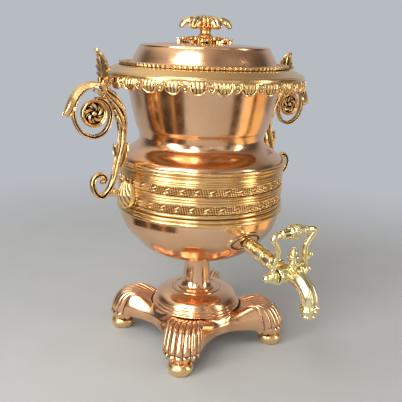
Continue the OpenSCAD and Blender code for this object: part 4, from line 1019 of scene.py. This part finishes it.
def escutcheon():
    """Copper oval round the tap's root, with a rib along its edge"""
    hole, width, height = 6.3, 24, 13
    rings = [[0.34, 0.05], [0.34, 1.3], [0.5, 1.5], [0.68, 1.1], [0.8, 1.2], [0.88, 2.0],
             [0.95, 1.9], [1, 1.0], [1, 0.05]]
    rows = []
    for s, lift in rings:
        across = [(hole, hole) if s < 0.4 else
                  (s * width * (1 - 0.12 * abs(math.sin(t))), s * height) for t in bearings(72)]
        rows.append([bowl_surface(lift, a * math.cos(t), b * math.sin(t))
                     for (a, b), t in zip(across, bearings(72))])
    piece("raised_escutcheon", "tap_escutcheon", [grid(np.array(rows), True, True)], COPPER, 4, 0.4)


EYE_IN, EYE_OUT = 19.2, 23.0  # inner and outer face of the bail's eyes, from the barrel's middle
BAIL_TILT = 7.5  # degrees by which the bail leans when the tap is closed
GRIP_Z = 45.4  # height of the grip over the barrel


def ball_end(x, r=4.3):
    return moved(turned(ball(r, 20), 36), None, (0, 0, x))


def tap_key():
    """Plug, nut, bail and grip, which turn together about the barrel"""
    plug = outline([[0, -EYE_IN], [7.2, -EYE_IN]], [[7.4, -17.6], [5.9, -16.3]], [[5.1, 16.6]],
                   [[3, 16.6]], [[3, 28]], [[0, 28]])
    stub = [[0, -EYE_OUT - 3], [3.4, -EYE_OUT - 3], [3.4, -EYE_IN + 1], [0, -EYE_IN + 1]]
    collar = outline([[0, -25.4], [3.2, -25.2]], [[3.9, -24.4], [3.6, -23.1]], [[0, -23.1]])
    nut = outline([[0, 0], [3.9, 0]], [[4.3, 1], [3.4, 2.2]], [[0, 2.4]], at=(0, EYE_OUT))
    for name, node, solids in (
            ("turned_plug", "tap_plug", [turned(plug, 48), turned(stub, 32), turned(collar, 40),
                                         ball_end(-EYE_OUT - 4.4)]),
            ("ball_nut", "plug_nut", [turned(nut, 40), ball_end(EYE_OUT + 4.4)])):
        piece(name, node, [moved(s, LYING, tap_at) for s in solids], PALE, body="tap_plug")
    tilt = about(X, BAIL_TILT)
    eye = outline([[3.3, EYE_IN], [5.4, EYE_IN]],
                  [[6.2, EYE_IN + 1.2], [6.2, EYE_OUT - 1.2], [5.4, EYE_OUT]], [[3.3, EYE_OUT]])
    leg = [[21.1, 4, 1.8, 2.8], [21.1, 8, 2.3, 3], [20.7, 13, 3, 3.1], [18.9, 22, 3, 3.1],
           [19.2, 29, 2.9, 3], [23, 35, 3, 3], [26.8, 40, 3.1, 3.1], [26.4, 43.6, 3.1, 3.1],
           [23, GRIP_Z, 3, 3], [19, GRIP_Z, 2.7, 2.8]]
    scroll = [[21.4, 9, 1.5, 2], [24, 11.6, 1.5, 1.8], [27, 13.4, 1.3, 1.7], [28.6, 14.6, 1.2, 1.6]]
    arm = [moved(turned(eye, 48), LYING), bar(smooth(leg, 7), None, 24),
           bar(smooth(scroll, 5), None, 16),
           moved(turned(ball(2.7, 16, 3.2), 28), about(Y, 30), (28.8, 0, 15.6)),
           moved(ball_end(0, 2.9), None, (21.3, 0, 8.6))]
    spindle = moved(turned([[0, -23], [2.3, -23], [2.3, 23], [0, 23]], 24), LYING, (0, 0, GRIP_Z))
    solids = arm + [moved(s, MIRROR) for s in arm] + [spindle]
    piece("cast_bail", "tap_bail", [moved(s, tilt, tap_at) for s in solids], PALE, 5, 0.7, "tap_plug")
    # The grip: a fluted cuff on the left, then an egg with fine reeds
    line = np.concatenate([
        smooth([[2.35, -18.8], [3.6, -18.8], [4.6, -17.8], [4.4, -16.6]], 3),
        smooth([[3.9, -16.2], [4.3, -14], [4.9, -11], [5.2, -8.6]], 6),
        smooth([[5.6, -8.2], [6.4, -7.6], [6.2, -6.6]], 3),
        smooth([[6, -6.2], [7.2, -2.6], [7.5, 1], [7, 5], [5.8, 9], [4.2, 12.2], [3.7, 13.4]], 14),
        smooth([[3.7, 13.4], [4.3, 14.4], [4, 15.6], [3.4, 16.4], [3.6, 18.8], [2.35, 18.8]], 3)])
    turn = bearings(144)
    h = line[:, 1, None]
    cuff = ((h > -15.9) & (h < -8.9)) * -1.5 * (np.abs(np.sin(4.5 * turn)) > 0.72)
    # Reeds 1.8 mm apart, a little coarser than real ones, so that each one shows
    reeded = ((h > -5.6) & (h < 12.5)) * -0.45 * np.abs(np.sin(math.pi * h / 1.8)) ** 3
    grip = grid(round_z(line[:, 0, None] + cuff + reeded, turn, h), True, True)
    grip = moved(moved(grip, LYING, (0, 0, GRIP_Z)), tilt, tap_at)
    piece("reeded_grip", "tap_grip", [grip], PALE, 4, 0.25, "tap_plug")


plinth()
bun_feet()
dome_and_stem()
vessel()
belt()
vine_strip("vine_frieze_upper", "vine_strip_upper", strip_high_z, top_band_z, 0)
vine_strip("vine_frieze_lower", "vine_strip_lower", strip_low_z, middle_z, 5)
rim()
skirt()
gallery()
lid()
finial()
crown()
handles()
tap_body()
escutcheon()
tap_key()


# ---- stage, light and camera ----

BACKDROP = "#b7bbc2"
FLOOR_R = 0.95
# Level directions straight behind the camera and to its right
BEHIND, RIGHT = np.array([-0.588, -0.809, 0.0]), np.array([0.809, -0.588, 0.0])


def stage_floor():
    """Plain pale floor, which runs into the backdrop's colour away from the urn"""
    bpy.ops.mesh.primitive_circle_add(vertices=96, radius=FLOOR_R, fill_type="NGON")
    floor = bpy.context.object
    floor.name = "floor"
    made, tree = new_material("pale_floor")
    place = add(tree, "TexCoord", out="Object")
    clouds = add(tree, "TexNoise", {"Vector": place, "Scale": 1 / (60 * MM), "Detail": 3.0})
    tone = add(tree, "Mix", {"Factor": clouds, "A": colour("#b2b8bc"), "B": colour("#bcc2c6")},
               data_type="RGBA")
    matt = add(tree, "BsdfPrincipled", {"Base Color": tone, "Roughness": 0.85})
    far = add(tree, "VectorMath", {0: place}, operation="LENGTH")
    fade = add(tree, "MapRange", {"Value": far, "From Min": 0.35, "From Max": 0.9},
               interpolation_type="SMOOTHSTEP")
    wall = add(tree, "Emission", {"Color": colour(BACKDROP), "Strength": 1.0})
    blend = add(tree, "MixShader", {0: fade, 1: matt, 2: wall})
    add(tree, "OutputMaterial", {"Surface": blend})
    floor.data.materials.append(made)


def painted_reflection_card(name, start, end, tone, strength):
    """A glowing card on the floor, seen only in the metal: a painted reflection of a dark or bright part of a
    room. It lies between two bearings, in degrees to the right of straight behind the camera."""
    near, far, height = 0.32, 0.94, 0.001
    bearing = np.radians(np.linspace(start, end, 9))[:, None]
    heading = np.cos(bearing) * BEHIND + np.sin(bearing) * RIGHT
    points, faces = grid(np.stack([heading * r + [0, 0, height] for r in (near, far)]))
    mesh = bpy.data.meshes.new(name)
    mesh.from_pydata(points.tolist(), [], faces.tolist())
    made, tree = new_material(name + "_card")
    glow = add(tree, "Emission", {"Color": colour(tone), "Strength": strength})
    add(tree, "OutputMaterial", {"Surface": glow})
    mesh.materials.append(made)
    card = new_object(name, mesh)
    card.visible_camera = card.visible_diffuse = card.visible_shadow = False


def softbox(name, at, size, watts, tint, aim_z=0.2):
    """Oval soft lamp at a place, turned to a height on the urn's axis"""
    lamp = bpy.data.lights.new(name, "AREA")
    lamp.shape = "ELLIPSE"
    lamp.size, lamp.size_y = size
    lamp.energy = watts
    lamp.color = colour(tint)[:3]
    made = new_object(name, lamp)
    made.location = at
    made.visible_camera = False
    heading = Vector((0, 0, aim_z)) - Vector(at)
    made.rotation_euler = heading.to_track_quat("-Z", "Y").to_euler()


def room():
    """The world: a pale backdrop on one side, a bright room with dark uprights across from it,
    darker walls between them, and a ceiling that is brightest towards the window"""
    world = bpy.data.worlds.new("room")
    bpy.context.scene.world = world
    world.use_nodes = True
    tree = world.node_tree
    tree.nodes.clear()
    heading = add(tree, "TexCoord", out="Generated")
    away = add(tree, "VectorMath", {0: heading, 1: -BEHIND}, operation="DOT_PRODUCT")
    room_side = add(tree, "MapRange", {"Value": away, "From Min": -0.1, "From Max": -0.7},
                    interpolation_type="SMOOTHSTEP")
    upright = add(tree, "VectorMath", {0: heading, 1: (1.0, 1.0, 0.1)}, operation="MULTIPLY")
    panels = add(tree, "TexNoise", {"Vector": upright, "Scale": 3.4, "Detail": 1.5})
    panels = add(tree, "MapRange", {"Value": panels, "From Min": 0.4, "From Max": 0.56},
                 interpolation_type="SMOOTHSTEP")
    lit = add(tree, "Math", {0: room_side, 1: panels}, operation="MULTIPLY")
    tone = add(tree, "Mix", {"Factor": lit, "A": colour("#565150"), "B": colour("#e6dfd8")},
               data_type="RGBA")
    wall = add(tree, "MapRange", {"Value": away, "From Min": 0.35, "From Max": 0.8},
               interpolation_type="SMOOTHSTEP")
    tone = add(tree, "Mix", {"Factor": wall, "A": tone, "B": colour(BACKDROP)}, data_type="RGBA")
    window_side = add(tree, "VectorMath", {0: heading, 1: -RIGHT}, operation="DOT_PRODUCT")
    window_side = add(tree, "MapRange", {"Value": window_side, "From Min": -0.3, "From Max": 0.4})
    ceiling = add(tree, "Mix", {"Factor": window_side, "A": colour("#93897e"),
                                "B": colour("#fff6ea")}, data_type="RGBA")
    height = add(tree, "SeparateXYZ", {"Vector": heading}, "Z")
    above = add(tree, "MapRange", {"Value": height, "From Min": 0.35, "From Max": 0.85},
                interpolation_type="SMOOTHSTEP")
    tone = add(tree, "Mix", {"Factor": above, "A": tone, "B": ceiling}, data_type="RGBA")
    # The camera sees the plain backdrop wherever it stands, and the metal sees the room
    seen = add(tree, "LightPath", out="Is Camera Ray")
    tone = add(tree, "Mix", {"Factor": seen, "A": tone, "B": colour(BACKDROP)}, data_type="RGBA")
    light = add(tree, "Background", {"Color": tone, "Strength": 1.0})
    add(tree, "OutputWorld", {"Surface": light})


def camera():
    """Eye level above the rim, looking down at the urn from its left front"""
    eye = (-0.3889, -0.5317, 0.3556)
    forward = np.array([0.56602, 0.77906, -0.26959])
    right = np.array([0.80902, -0.58779, 0.0])
    up = np.array([0.15846, 0.21810, 0.96297])
    roll = math.radians(2)
    across = math.cos(roll) * right + math.sin(roll) * up
    above = -math.sin(roll) * right + math.cos(roll) * up
    data = bpy.data.cameras.new("camera")
    made = new_object("camera", data)
    made.matrix_world = Matrix([[across[i], above[i], -forward[i], eye[i]] for i in range(3)]
                               + [[0, 0, 0, 1]])
    data.sensor_width, data.lens = 36, 52.03
    data.shift_x = 0.0087
    data.clip_start, data.clip_end = 0.01, 50
    bpy.context.scene.camera = made


stage_floor()
# Glowing cards that only the metal sees: painted reflections, dark with gold slits to the left and bright gold to
# the right
for card in (("far_left", -100, -72, "#4a3528", 1.0), ("left_gold", -72, -66, "#c89a62", 1.0),
             ("left", -66, -48, "#33241a", 1.0), ("left_slit", -48, -44, "#d9a868", 1.0),
             ("near_left", -44, -28, "#4e3626", 1.0), ("right", 46, 60, "#55402f", 1.0),
             ("right_gold", 64, 80, "#ffe0a8", 1.4), ("right_gap", 80, 88, "#7a5a3a", 1.0),
             ("far_right_gold", 88, 112, "#f4cf92", 1.2)):
    painted_reflection_card(*card)
softbox("window", (-1.25, -0.12, 0.5), (0.45, 1.5), 11, "#fff9f0")
softbox("side_strip", (0.72, -1.1, 0.45), (0.2, 1.3), 5, "#fff4e6")
softbox("front_strip", (-0.95, -0.85, 0.7), (0.18, 1.1), 5, "#fffaf4")
softbox("overhead", (-0.85, -0.4, 1.25), (0.7, 0.6), 6, "#fffaf4", aim_z=0.25)
room()
camera()
bpy.context.scene.view_settings.view_transform = "Standard"
